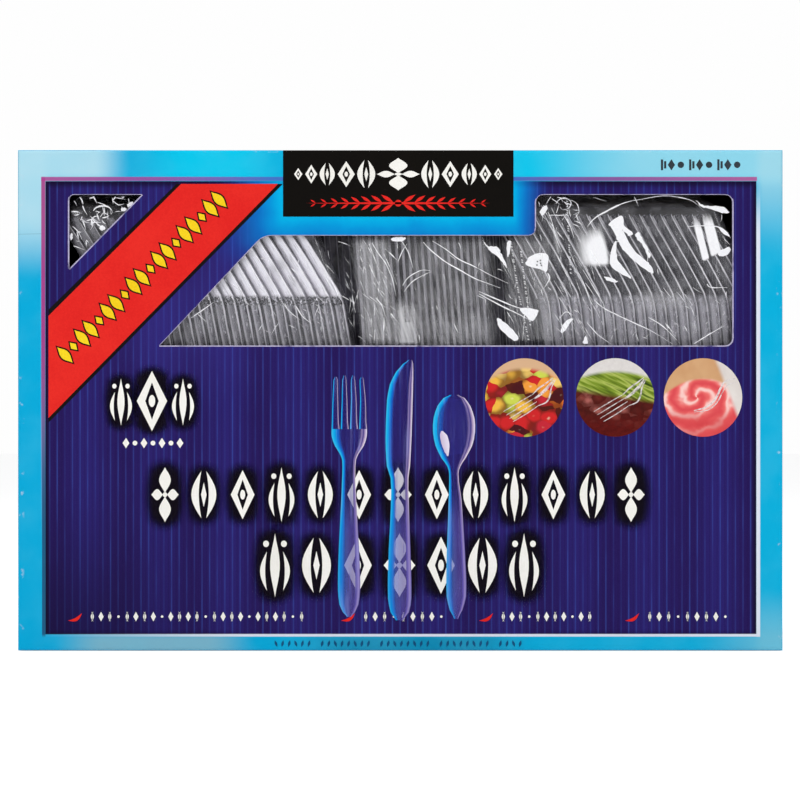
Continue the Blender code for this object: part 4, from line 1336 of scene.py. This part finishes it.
def fruit_picture(paint, u, v):
    across, up, vector = medallion_place(paint, u, v)
    bent = paint.noise(vector, 2.6, 2.0) * 0.25
    moved = paint.vector(across * 0.9 + bent, up * 1.15 + bent, 0.7)
    colour, distance = cells(paint, moved, 3.1, [
        (0.0, rgb(206, 40, 42)), (0.14, rgb(240, 186, 72)), (0.34, rgb(232, 120, 44)), (0.46, rgb(206, 214, 84)),
        (0.58, rgb(244, 206, 110)), (0.72, rgb(196, 42, 56)), (0.8, rgb(242, 156, 62)), (0.94, rgb(74, 24, 30))])
    colour = paint.mix(paint.step(distance, 0.4, 0.78) * 0.75, colour, rgb(88, 32, 22))
    shine = paint.step(distance, 0.2, 0.02) * paint.step(paint.noise(moved, 9.0, 1.0), 0.4, 0.6)
    colour = paint.mix(shine * 0.5, colour, rgb(250, 232, 196))
    plate = paint.step(up + across * across * 0.35, 0.66, 0.8)
    return paint.mix(plate, colour, rgb(216, 176, 138))


def greens_picture(paint, u, v):
    across, up, vector = medallion_place(paint, u, v)
    stalk = paint.noise(paint.vector((across * 0.45 + up * 0.9) * 7.0, (up * 0.45 - across * 0.9) * 0.9, 0.0),
                        1.0, 2.0)
    colour = paint.ramp(stalk, [(0.3, rgb(46, 66, 20)), (0.46, rgb(122, 146, 44)), (0.56, rgb(176, 190, 92)),
                                (0.66, rgb(86, 108, 36))])
    grill = paint.math("FRACT", (across * 0.8 + up * 0.6) * 3.4)
    bits, distance = cells(paint, paint.vector(across, up * 1.5, 0.3), 3.4, [
        (0.0, rgb(150, 74, 66)), (0.25, rgb(104, 40, 34)), (0.5, rgb(172, 98, 90)), (0.75, rgb(86, 30, 26))])
    crust = paint.mix(paint.step(distance, 0.2, 0.62) * 0.7, bits, rgb(66, 18, 16))
    crust = paint.mix(paint.band(grill, 0.3, 0.62, 0.2) * 0.5, crust, rgb(70, 26, 20))
    crumb = paint.noise(vector, 9.0, 4.0, 0.65)
    crust = paint.mix(paint.step(crumb, 0.42, 0.7) * 0.55, crust, rgb(92, 26, 20))
    lower = paint.step(up + across * 0.15, 0.12, -0.04)
    colour = paint.mix(lower, colour, crust)
    sauce = paint.step(up, -0.3, -0.7)
    colour = paint.mix(sauce * 0.85, colour, paint.mix(crumb, rgb(58, 8, 10), rgb(112, 26, 22)))
    plate = paint.step(up + across * across * 0.2, 0.6, 0.72)
    return paint.mix(plate, colour, paint.mix(crumb, rgb(206, 200, 196), rgb(232, 228, 224)))


def cream_picture(paint, u, v):
    across, up, vector = medallion_place(paint, u, v)
    away = paint.math("SQRT", (across + 0.15) * (across + 0.15) + (up * 1.25 - 0.05) * (up * 1.25 - 0.05))
    bend = paint.noise(vector, 2.2, 2.0, 0.5, 0.4)
    turn = paint.math("ARCTAN2", up, across + 0.15)
    swirl = paint.math("SINE", away * 13.0 + turn * 2.0 + bend * 6.0) * 0.5 + 0.5
    colour = paint.ramp(swirl, [(0.0, rgb(222, 78, 84)), (0.5, rgb(236, 108, 106)), (0.78, rgb(244, 150, 144)),
                                (1.0, rgb(252, 206, 198))])
    syrup = paint.step(up, -0.2, -0.62)
    colour = paint.mix(syrup * 0.75, colour, paint.mix(bend, rgb(196, 44, 54), rgb(236, 96, 96)))
    board = paint.step(up + across * across * 0.4, 0.42, 0.52)
    colour = paint.mix(board, colour, paint.mix(bend, rgb(196, 142, 96), rgb(222, 180, 136)))
    cloth = paint.step(across * 0.9 + up * 0.35, 0.56, 0.7)
    return paint.mix(cloth, colour, paint.mix(bend, rgb(206, 196, 190), rgb(240, 234, 228)))


def clear_ink():
    """Pale half-clear ink of a pictured clear fork."""
    paint = Paint("ink_clear")
    lay = paint.noise(paint.place()[3], 900.0, 2.0)
    body = paint.principled(paint.mix(lay, rgb(226, 214, 214), rgb(255, 250, 248)), 0.34,
                            Specular_IOR_Level=GLOSS_LEVEL)
    return paint.done(paint.blend(paint.step(lay, 0.25, 0.6) * 0.5 + 0.3, paint.transparent(rgb(255, 255, 255)), body))


# A clear fork and a clear spoon's handle in strokes about a medallion's middle: (half width, points)
FORK_STROKES = [
    (0.5, [(-21.0, 14.0), (-6.0, 5.0), (8.0, -3.0)]), (0.5, [(-18.0, 17.5), (-4.0, 9.0), (10.0, 0.5)]),
    (0.5, [(-15.0, 21.0), (-1.0, 12.4), (12.5, 4.0)]), (0.5, [(-11.5, 24.0), (1.5, 16.4), (14.0, 8.0)]),
    (0.8, [(8.0, -3.0), (14.0, -9.0), (21.0, -14.0), (29.0, -20.0)]),
    (0.8, [(14.0, 8.0), (22.0, 4.5), (25.5, -2.0), (27.0, -10.0), (31.0, -18.0)]),
    (1.5, [(10.0, 1.0), (17.0, -4.0), (24.0, -11.0), (29.0, -18.0)]),
]
SPOON_STROKES = [
    (1.1, [(-9.0, 13.0), (3.0, 9.6), (12.0, 2.0), (17.0, -8.0), (22.0, -16.0), (32.0, -19.0)]),
    (0.6, [(-9.0, 14.5), (5.0, 12.4), (14.0, 5.0), (19.4, -5.0), (24.6, -12.4), (33.0, -15.0)]),
]


def stroke(points, half):
    """Quads along a smooth curve, widest in its middle."""
    line = curved(points, 6)
    quads, sides = [], []
    for i, (u, v) in enumerate(line):
        (ua, va), (ub, vb) = line[max(i - 1, 0)], line[min(i + 1, len(line) - 1)]
        length = math.hypot(ub - ua, vb - va)
        wide = half * (0.4 + 0.6 * math.sin(math.pi * i / (len(line) - 1)))
        nu, nv = -(vb - va) / length * wide, (ub - ua) / length * wide
        sides.append(((u + nu, v + nv), (u - nu, v - nv)))
    for (a, b), (c, d) in zip(sides, sides[1:]):
        quads.append([a, b, d, c])
    return quads


def print_medallions(suffix, placed, pictures, clear):
    """Three round pictures of plain food, each with a pictured clear fork or spoon."""
    for number, ((u, v), material, strokes) in enumerate(zip(
            MEDALLIONS, pictures, (FORK_STROKES, FORK_STROKES, SPOON_STROKES)), 1):
        printed(f"medallion_{number}{suffix}", [oval(u, v, MEDALLION_RADIUS, MEDALLION_RADIUS, 0.0, 72)],
                material, 2, placed)
        quads = []
        for half, points in strokes:
            quads += stroke([(u + du, v + dv) for du, dv in points], half)
        printed(f"medallion_strokes_{number}{suffix}", quads, clear, 3, placed)


def print_artwork():
    inks = {"white": ink("ink_white", OFF_WHITE), "red": ink("ink_red", RED), "yellow": ink("ink_yellow", CREAM_YELLOW),
            "black": ink("ink_black", BLACK), "label": ink("ink_label", ((18, 15, 12), (14, 12, 10)), 0.3),
            "deep_blue": ink("ink_deep_blue", ((18, 74, 116), (26, 88, 130))),
            "grey": ink("ink_grey", ((44, 52, 58), (58, 66, 72)))}
    pictures = []
    for name, picture, (u, v) in zip(("picture_fruit", "picture_greens", "picture_cream"),
                                     (fruit_picture, greens_picture, cream_picture), MEDALLIONS):
        paint = Paint(name)
        pictures.append(paint.done(paint.principled(picture(paint, u, v), 0.32, Specular_IOR_Level=GLOSS_LEVEL)))
    glass = cutlery_material()
    clear = clear_ink()
    print_band(inks)
    print_label(inks)
    print_marks(inks)
    for suffix, placed in (("", on_front), ("_back", on_back)):
        print_title(suffix, placed, inks)
        print_count(suffix, placed, inks)
        print_bottom_row(suffix, placed, inks)
        print_cutlery(suffix, placed, glass)
        print_medallions(suffix, placed, pictures, clear)
    print_title("_lid", on_lid, inks, TITLE_ROWS[:1])
    for suffix, side in (("_right_end", 1), ("_left_end", -1)):
        print_title(suffix, on_end(side), inks, TITLE_ROWS[1:])
        print_cutlery(suffix, on_end(side), glass)


# Creases of the film that catch the studio light, on the picture's grid: (half width, points)
CREASES = [
    (0.55, [(587.6, 226.7), (594.4, 218.7), (605.9, 211.8), (619.7, 204.9), (630.0, 201.5), (642.7, 199.2)]),
    (0.35, [(642.7, 199.2), (663.3, 195.9), (680.0, 197.6), (693.2, 201.5), (703.5, 210.7)]),
    (0.4, [(688.0, 226.7), (704.0, 226.0), (720.7, 227.9), (731.0, 238.2)]),
    (0.42, [(594.4, 300.2), (605.9, 309.4), (634.6, 323.2), (651.8, 331.2), (672.5, 343.8)]),
    (0.36, [(648.4, 317.4), (663.3, 326.6), (680.5, 343.8)]),
    (0.4, [(694.3, 343.8), (710.0, 334.0), (724.2, 326.0)]),
    (0.36, [(587.0, 322.6), (597.9, 334.6), (611.7, 344.4)]),
    (0.4, [(707.0, 284.0), (711.5, 287.6), (727.6, 287.6)]),
    (0.5, [(423.3, 242.2), (430.2, 249.7), (445.1, 261.7), (461.2, 270.9), (474.4, 278.4), (487.6, 283.5),
           (500.2, 288.1)]),
    (0.42, [(432.5, 241.1), (446.3, 249.7), (458.9, 259.4), (475.0, 266.9), (491.0, 275.5), (508.2, 283.5)]),
    (0.5, [(479.0, 291.6), (500.0, 300.6), (519.7, 308.2), (537.5, 310.0)]),
    (0.45, [(479.0, 293.9), (500.2, 305.4), (518.0, 314.0), (531.2, 320.9)]),
    (0.4, [(402.6, 285.8), (407.0, 279.0), (413.0, 274.4), (422.1, 270.3), (430.2, 270.9)]),
    (0.32, [(404.0, 292.0), (412.0, 282.0), (424.0, 275.0), (431.0, 272.0)]),
    (0.45, [(547.8, 273.2), (549.6, 279.0), (543.8, 288.7)]),
    (0.35, [(398.0, 262.0), (402.0, 252.0), (407.0, 244.0)]),
    (0.35, [(401.0, 240.0), (408.0, 252.0), (413.0, 268.0)]),
    (0.4, [(372.0, 243.0), (378.0, 253.0), (386.0, 264.0), (390.0, 274.0)]),
    (0.35, [(386.0, 264.0), (392.0, 278.0), (396.0, 296.0)]),
    (0.4, [(291.0, 268.0), (297.0, 274.0), (300.0, 282.0)]),
    (0.35, [(324.0, 272.0), (328.0, 282.0), (333.0, 290.0)]),
    (0.4, [(296.0, 306.0), (302.0, 316.0), (312.0, 324.0)]),
    (0.35, [(282.0, 302.0), (290.0, 312.0), (300.0, 320.0)]),
    (0.4, [(376.0, 298.0), (382.0, 306.0), (385.0, 316.0)]),
    (0.4, [(191.0, 318.0), (204.0, 309.0), (214.0, 302.0)]),
    (0.35, [(560.0, 318.0), (566.0, 312.0), (574.0, 316.0)]),
    (0.35, [(556.0, 204.0), (559.0, 200.0), (565.0, 198.0), (571.0, 202.0), (569.0, 208.0), (563.0, 210.0),
            (560.0, 207.0)]),
    (0.35, [(571.0, 200.0), (577.0, 204.0), (579.0, 212.0), (575.0, 218.0)]),
    (0.35, [(548.0, 212.0), (552.0, 222.0), (556.0, 238.0), (562.0, 252.0)]),
    (0.35, [(563.0, 214.0), (570.0, 226.0), (574.0, 238.0)]),
    (0.3, [(576.0, 268.0), (584.0, 284.0), (590.0, 300.0), (600.0, 318.0)]),
    (0.3, [(583.0, 270.0), (594.0, 288.0), (604.0, 306.0), (607.0, 324.0)]),
    (0.55, [(93.3, 211.0), (95.6, 208.0), (101.3, 206.2), (107.6, 206.8), (111.7, 210.8), (111.1, 214.5)]),
    (0.4, [(100.2, 217.1), (103.6, 213.1), (108.8, 216.0)]),
    (0.4, [(91.6, 218.9), (95.0, 222.0), (99.0, 226.3)]),
    (0.4, [(82.4, 205.7), (84.0, 210.0), (87.0, 214.9)]),
    (0.35, [(72.0, 226.0), (78.0, 232.0), (82.0, 240.0)]),
    (0.35, [(112.0, 200.0), (118.0, 205.0), (124.0, 204.0)]),
]

# Flat folds of the film that mirror the light, as closed outlines
FOLDS = [
    [(609.4, 223.3), (622.0, 215.8), (624.3, 225.6), (632.9, 233.0), (628.9, 235.9), (622.6, 230.2),
     (634.6, 250.8), (643.8, 258.9), (650.7, 265.8), (653.6, 272.7), (649.5, 272.7), (640.4, 265.8),
     (630.0, 257.7), (622.0, 248.5), (617.4, 239.4), (611.7, 227.9)],
    [(635.2, 234.2), (639.2, 232.5), (642.7, 239.4), (647.2, 247.4), (650.7, 256.6), (648.4, 257.7),
     (642.7, 245.1), (638.1, 240.5)],
    [(609.4, 261.2), (614.0, 244.0), (616.3, 242.8), (617.4, 258.9), (624.3, 268.1), (631.2, 278.4),
     (625.4, 276.1), (614.0, 269.2)],
    [(696.0, 200.3), (701.2, 204.3), (708.1, 206.1), (720.7, 206.6), (726.5, 208.9), (729.3, 213.0),
     (725.3, 213.5), (718.4, 211.8), (709.2, 208.9), (701.2, 206.6)],
    [(718.0, 227.0), (725.0, 230.0), (730.5, 237.0), (724.0, 234.0)],
    [(718.0, 252.0), (729.0, 247.0), (730.5, 252.0), (722.0, 257.0)],
    [(604.0, 277.0), (611.0, 278.0), (618.0, 282.0), (610.0, 281.6)],
    [(519.7, 308.2), (537.5, 310.0), (535.8, 316.8), (531.2, 320.9)],
    [(483.6, 241.6), (488.7, 246.2), (496.8, 246.8), (501.9, 254.3), (507.1, 266.9), (504.8, 265.8),
     (497.9, 257.1), (488.7, 249.7)],
    [(525.5, 264.6), (533.5, 254.8), (547.8, 255.1), (546.7, 272.1), (542.7, 270.3)],
    [(497.3, 318.0), (504.8, 322.6), (517.4, 335.2), (516.3, 340.9), (509.4, 337.5), (499.1, 327.2)],
    [(391.0, 239.0), (394.0, 237.4), (405.0, 237.6), (403.0, 241.0), (394.0, 241.6)],
    [(561.0, 330.0), (566.0, 321.0), (573.0, 319.0), (568.0, 326.0), (563.0, 333.0)],
    [(583.0, 343.0), (586.0, 336.0), (588.0, 343.0)],
    [(507.0, 243.0), (511.0, 241.0), (510.0, 252.0), (507.5, 257.0)],
    [(540.0, 212.0), (545.0, 206.0), (548.0, 208.0), (543.0, 216.0)],
    [(99.0, 227.0), (102.0, 225.6), (105.0, 228.0), (102.0, 231.0)],
    [(121.0, 209.0), (125.0, 207.6), (126.0, 210.0), (122.0, 211.6)],
    [(127.0, 205.0), (132.0, 202.0), (133.0, 205.0), (128.0, 207.4)],
    [(69.6, 235.0), (71.8, 233.8), (72.0, 239.0), (69.8, 239.6)],
]
VENT_DOTS = [(537.5, 261.7), (540.4, 260.6), (537.0, 265.2), (540.6, 263.5), (541.5, 265.6)]

# Streaked reflections: corners from the top left round, how softly the left, right, top and bottom end, strength
SHEENS = [
    ([(560.0, 220.0), (603.0, 217.0), (613.0, 268.0), (570.0, 274.0)], (0.9, 0.16, 0.65, 0.2), 1.5),
    ([(689.0, 211.0), (699.0, 212.0), (710.6, 259.6), (702.0, 263.4)], (0.3, 0.25, 0.5, 0.08), 1.2),
    ([(698.2, 207.5), (711.0, 207.5), (723.5, 253.0), (710.4, 259.2)], (0.24, 0.25, 0.5, 0.08), 1.2),
    ([(546.0, 216.0), (559.5, 214.0), (569.5, 262.0), (554.0, 276.0)], (0.5, 0.5, 0.4, 0.4), 0.4),
    ([(340.0, 236.0), (398.0, 236.0), (406.0, 346.0), (356.0, 346.0)], (0.35, 0.3, 0.05, 0.05), 0.34),
    ([(386.0, 290.0), (426.0, 290.0), (430.0, 346.0), (388.0, 346.0)], (0.4, 0.5, 0.4, 0.02), 0.5),
    ([(402.0, 236.0), (500.0, 236.0), (505.0, 346.0), (404.0, 346.0)], (0.1, 0.1, 0.02, 0.02), 0.2),
    ([(420.0, 296.0), (500.0, 300.0), (505.0, 346.0), (420.0, 346.0)], (0.3, 0.3, 0.5, 0.02), 0.2),
    ([(494.0, 236.0), (560.0, 236.0), (566.0, 346.0), (498.0, 346.0)], (0.25, 0.25, 0.05, 0.02), 0.27),
    ([(618.0, 282.0), (700.0, 280.0), (712.0, 322.0), (622.0, 326.0)], (0.3, 0.3, 0.4, 0.5), 0.3),
]

# Toothed seams of the pouches, with teeth of painted highlight, as rows of points
SEAMS = [
    [(511.0, 242.0), (514.0, 262.0), (518.0, 290.0), (524.0, 318.0), (529.0, 342.0)],
    [(521.0, 252.0), (524.0, 276.0), (527.0, 300.0), (530.5, 326.0)],
    [(567.0, 199.0), (568.0, 222.0), (569.5, 250.0), (571.0, 276.0)],
]
SEAM_STEP = 3.1

# Wrinkles are painted highlights on the film.
# Scattered wrinkles: how many, u range, v range, angle and spread in radians, length range, half width range,
# strength
WRINKLES = [
    (80, (165.0, 730.0), (197.0, 343.0), (1.15, 0.5), (4.0, 15.0), (0.16, 0.34), 0.8),
    (46, (72.0, 138.0), (197.0, 264.0), (0.9, 1.1), (3.0, 11.0), (0.2, 0.5), 1.0),
    (30, (338.0, 404.0), (239.0, 343.0), (1.25, 0.3), (10.0, 34.0), (0.2, 0.6), 0.55),
    (26, (500.0, 562.0), (239.0, 343.0), (1.4, 0.22), (12.0, 34.0), (0.16, 0.5), 0.5),
    (34, (560.0, 606.0), (258.0, 340.0), (1.05, 0.12), (12.0, 30.0), (0.16, 0.42), 0.6),
    (90, (600.0, 731.0), (312.0, 342.0), (-1.05, 0.1), (7.0, 16.0), (0.12, 0.3), 0.42),
    (24, (538.0, 580.0), (197.0, 226.0), (0.4, 1.2), (4.0, 11.0), (0.2, 0.42), 0.9),
    (40, (236.0, 396.0), (286.0, 342.0), (0.95, 0.3), (6.0, 18.0), (0.14, 0.34), 0.6),
]
CREASE_LIFT = 0.45 * MM


def before_film(u, v, lift=0.0):
    """Point on the crumpled film's bulge inside a window."""
    x, z = at_x(u), at_z(v)
    bulge = 0.85 * MM * ease(window_depth(x, z), 3.0, 22.0)
    return (x, FRONT + BOARD + 0.1 * MM - bulge - lift, z)


def curved(points, steps=5):
    """Points resampled along a smooth curve through them."""
    padded = [points[0]] + points + [points[-1]]
    result = []
    for p0, p1, p2, p3 in zip(padded, padded[1:], padded[2:], padded[3:]):
        for i in range(steps):
            t = i / steps
            result.append(tuple(0.5 * (2 * b + (c - a) * t + (2 * a - 5 * b + 4 * c - d) * t * t
                                       + (3 * b - a - 3 * c + d) * t ** 3)
                                for a, b, c, d in zip(p0, p1, p2, p3)))
    return result + [points[-1]]


def crease_strip(bm, fade, points, half, strength=1.0):
    """Thin raised ridge along a curve: clear at its feet, a painted highlight along its top."""
    line = curved(points)
    rows = []
    for i, (u, v) in enumerate(line):
        ua, va = line[max(i - 1, 0)]
        ub, vb = line[min(i + 1, len(line) - 1)]
        length = math.hypot(ub - ua, vb - va) or 1.0
        nu, nv = -(vb - va) / length, (ub - ua) / length
        part = i / (len(line) - 1)
        wide = half * (0.35 + 0.65 * math.sin(math.pi * min(1.0, part * 1.1 + 0.05))) * 2.3
        uneven = strength * (1.0 + 0.6 * noise.noise(Vector((u * 0.21, v * 0.21, 4.0))))
        row = []
        for side, lift, value in ((-1.0, 0.0, 0.0), (0.0, CREASE_LIFT, uneven), (1.0, 0.0, 0.0)):
            vert = bm.verts.new(before_film(u + nu * wide * side, v + nv * wide * side, lift * 0.5 + 0.1 * MM))
            vert[fade] = value
            row.append(vert)
        rows.append(row)
    for a, b in zip(rows, rows[1:]):
        for k in range(2):
            bm.faces.new((a[k], a[k + 1], b[k + 1], b[k]))


def fold_patch(bm, fade, outline):
    """Flat fold with a ragged edge, painted white as a reflection."""
    rounded = curved(outline[-1:] + outline + outline[:2], 5)[5:-6]
    verts = []
    for u, v in rounded:
        ragged = noise.noise_vector(Vector((u * 0.55, v * 0.55, 2.0)))
        verts.append(bm.verts.new(before_film(u + ragged.x * 1.1, v + ragged.y * 1.1, 0.2 * MM)))
    for vert in verts:
        vert[fade] = 0.15
    face = bm.faces.new(verts)
    old = set(bm.verts)
    bmesh.ops.inset_individual(bm, faces=[face], thickness=0.36 * MM, depth=0.0, use_even_offset=True)
    for vert in set(bm.verts) - old:
        vert[fade] = 1.0
        vert.co.y -= 0.08 * MM


def sheen_patch(bm, fade, corners, ends, strength):
    """Four-cornered reflection whose sides end sharply or softly."""
    count = 14
    (ua, va), (ub, vb), (uc, vc), (ud, vd) = corners
    left, right, top, bottom = ends
    grid = []
    for i in range(count + 1):
        down = i / count
        row = []
        for k in range(count + 1):
            part = k / count
            u = (ua * (1.0 - part) + ub * part) * (1.0 - down) + (ud * (1.0 - part) + uc * part) * down
            v = (va * (1.0 - part) + vb * part) * (1.0 - down) + (vd * (1.0 - part) + vc * part) * down
            vert = bm.verts.new(before_film(u, v, 0.05 * MM))
            vert[fade] = strength * (ease(part, 0.0, left) * ease(1.0 - part, 0.0, right)
                                     * ease(down, 0.0, top) * ease(1.0 - down, 0.0, bottom))
            row.append(vert)
        grid.append(row)
    for a, b in zip(grid, grid[1:]):
        for k in range(count):
            bm.faces.new((a[k], a[k + 1], b[k + 1], b[k]))


def seam_teeth(bm, fade, points):
    """Small bright teeth along a pouch's seam: painted highlights."""
    line = curved(points, 12)
    travelled = SEAM_STEP
    for (ua, va), (ub, vb) in zip(line, line[1:]):
        travelled += math.hypot(ub - ua, vb - va)
        if travelled >= SEAM_STEP:
            travelled -= SEAM_STEP
            face = bm.faces.new([bm.verts.new(before_film(u, v, 0.25 * MM))
                                 for u, v in oval(ua, va, 1.15, 0.62, 0.5, 8)])
            for vert in face.verts:
                vert[fade] = 0.62


def finish_flat_piece(name, bm, material):
    for face in bm.faces:
        face.normal_update()
        if face.normal.y > 0.0:
            face.normal_flip()
    mesh = bpy.data.meshes.new(name)
    bm.to_mesh(mesh)
    bm.free()
    mesh.materials.append(material)
    obj = put(name, mesh)
    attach(obj, "root")


def crease_material(name, stretch, cut):
    """Bright film where it turns to the light: streaked along its folds, clear where its strength ends."""
    paint = Paint(name)
    x, y, z, vector = paint.place()
    spots = paint.noise(paint.vector(x * stretch[0] + z * stretch[1], 0.0, z * stretch[2]), 1.0, 4.0, 0.62)
    fine = paint.noise(vector, 1500.0, 2.0)
    white = paint.mix(fine, rgb(232, 232, 238), rgb(255, 255, 255))
    body = paint.principled(white, 0.3)
    strength = paint.attribute("fade")
    if cut:
        amount = paint.step(strength + (spots - 0.5) * 0.9, 0.2, 0.7)
    else:
        amount = paint.step(strength * 1.3 + (spots - 0.5) * 0.7, 0.08, 1.3)
    amount = amount * (1.0 - paint.shadow_ray() * SHADOW_EASE)
    return paint.done(paint.blend(amount, paint.transparent(rgb(255, 255, 255)), body))


def dress_creases():
    # Painted highlights and reflections on the film: creases, folds, wrinkles, seams and glares.
    sharp = crease_material("film_crease", (420.0, 0.0, 420.0), True)
    streaked = crease_material("film_glare", (900.0, 260.0, 60.0), False)
    for name, material, maker, items in (
            ("film_creases", sharp, crease_strip, [(points, half) for half, points in CREASES]),
            ("film_folds", sharp, fold_patch, [(outline,) for outline in FOLDS]),
            ("film_seams", streaked, seam_teeth, [(points,) for points in SEAMS]),
            ("film_glares", streaked, sheen_patch, SHEENS),
            ("film_wrinkles", sharp, crease_strip, scattered_wrinkles())):
        bm = bmesh.new()
        fade = bm.verts.layers.float.new("fade")
        for item in items:
            maker(bm, fade, *item)
        finish_flat_piece(name, bm, material)
    bm = bmesh.new()
    for u, v in VENT_DOTS:
        bm.faces.new([bm.verts.new(before_film(pu, pv, 0.45 * MM)) for pu, pv in oval(u, v, 0.75, 0.75, 0.0, 10)])
    paint = Paint("film_vent")
    speck = paint.noise(paint.place()[3], 2000.0, 1.0)
    hole = paint.done(paint.principled(paint.mix(speck, rgb(46, 44, 50), rgb(78, 76, 84)), 0.5))
    finish_flat_piece("film_vents", bm, hole)


def scattered_wrinkles():
    """Short wrinkles over both windows, drawn as painted highlights, as (points, half width, strength), seeded."""
    draw = random.Random(41)
    strips = []
    for count, us, vs, (lean, spread), lengths, halves, strength in WRINKLES:
        made = 0
        while made < count:
            u, v = draw.uniform(*us), draw.uniform(*vs)
            length = draw.uniform(*lengths)
            angle = draw.gauss(lean, spread)
            bow = draw.uniform(-2.4, 2.4)
            half = draw.uniform(*halves)
            points = []
            for k in range(4):
                part = k / 3.0 - 0.5
                points.append((u + math.cos(angle) * length * part - math.sin(angle) * bow * (0.25 - part * part),
                               v + math.sin(angle) * length * part + math.cos(angle) * bow * (0.25 - part * part)))
            if min(window_depth(at_x(pu), at_z(pv)) for pu, pv in points) >= 1.5:
                strips.append((points, half, strength))
                made += 1
    return strips


def aim(obj, target):
    obj.rotation_euler = (Vector(target) - obj.location).to_track_quat("-Z", "Y").to_euler()


def make_camera():
    """Level view straight at the front panel: the picture is PICTURE_WIDTH wide at that plane."""
    picture_width = 800.0 * PIXEL_X
    distance = 1.66
    camera = bpy.data.objects.new("camera", bpy.data.cameras.new("camera"))
    camera.data.sensor_width = 36.0
    camera.data.lens = camera.data.sensor_width * distance / picture_width
    camera.data.clip_end = 20.0
    camera.location = (at_x(400.0), FRONT - distance, at_z(400.0))
    camera.rotation_euler = (math.radians(90.0), 0.0, 0.0)
    bpy.context.scene.collection.objects.link(camera)
    bpy.context.scene.camera = camera


def area_light(name, place, target, width, height, power):
    light = bpy.data.lights.new(name, "AREA")
    light.shape = "RECTANGLE"
    light.size = width
    light.size_y = height
    light.energy = power
    obj = bpy.data.objects.new(name, light)
    obj.location = place
    aim(obj, target)
    bpy.context.scene.collection.objects.link(obj)


def make_world():
    """Even pale surroundings; rays from the camera see plain white."""
    world = bpy.data.worlds.new("studio")
    bpy.context.scene.world = world
    world.use_nodes = True
    tree = world.node_tree
    background = tree.nodes["Background"]
    path = tree.nodes.new("ShaderNodeLightPath")
    strength = tree.nodes.new("ShaderNodeMapRange")
    strength.inputs["To Min"].default_value = WORLD_LIGHT
    strength.inputs["To Max"].default_value = 1.0
    tree.links.new(path.outputs["Is Camera Ray"], strength.inputs["Value"])
    tree.links.new(strength.outputs[0], background.inputs["Strength"])
    background.inputs["Color"].default_value = rgb(254, 254, 254)


def make_floor():
    """White table under the carton, which keeps a soft contact shadow."""
    mesh = bpy.data.meshes.new("table")
    bm = bmesh.new()
    bmesh.ops.create_grid(bm, x_segments=1, y_segments=1, size=6.0)
    bm.to_mesh(mesh)
    bm.free()
    floor = bpy.data.objects.new("table", mesh)
    floor.location = (0.0, 0.0, -0.3 * MM)
    bpy.context.scene.collection.objects.link(floor)
    paint = Paint("white_table")
    path = paint.node("ShaderNodeLightPath")
    seen = Wire(paint, path.outputs["Is Camera Ray"])
    mist = paint.noise(paint.place()[3], 30.0, 2.0)
    board = paint.principled(paint.mix(mist, rgb(246, 247, 249), rgb(250, 250, 251)), 0.6)
    lift = paint.node("ShaderNodeEmission")
    lift.inputs["Color"].default_value = rgb(254, 254, 254)
    paint.feed(lift.inputs["Strength"], seen * FLOOR_LIFT)
    both = paint.node("ShaderNodeAddShader")
    paint.feed(both.inputs[0], board)
    paint.feed(both.inputs[1], Wire(paint, lift.outputs[0]))
    mesh.materials.append(paint.done(Wire(paint, both.outputs[0])))


WORLD_LIGHT = 0.38
FLOOR_LIFT = 0.6


def make_studio():
    bpy.context.scene.view_settings.view_transform = "Standard"
    make_camera()
    make_world()
    make_floor()
    middle = (0.0, FRONT, HEIGHT * 0.55)
    area_light("key", (-0.9, FRONT - 1.25, 0.95), middle, 0.8, 0.8, 10.0)
    area_light("fill", (1.0, FRONT - 1.2, 0.7), middle, 0.7, 0.9, 6.4)
    area_light("overhead", (0.0, 0.1, 1.5), (0.0, 0.0, 0.1), 1.2, 1.0, 11.0)


dress_carton()
cut_edges()
dress_forks()
dress_knives()
dress_films()
dress_creases()
dress_rear_packs()
print_artwork()
make_studio()
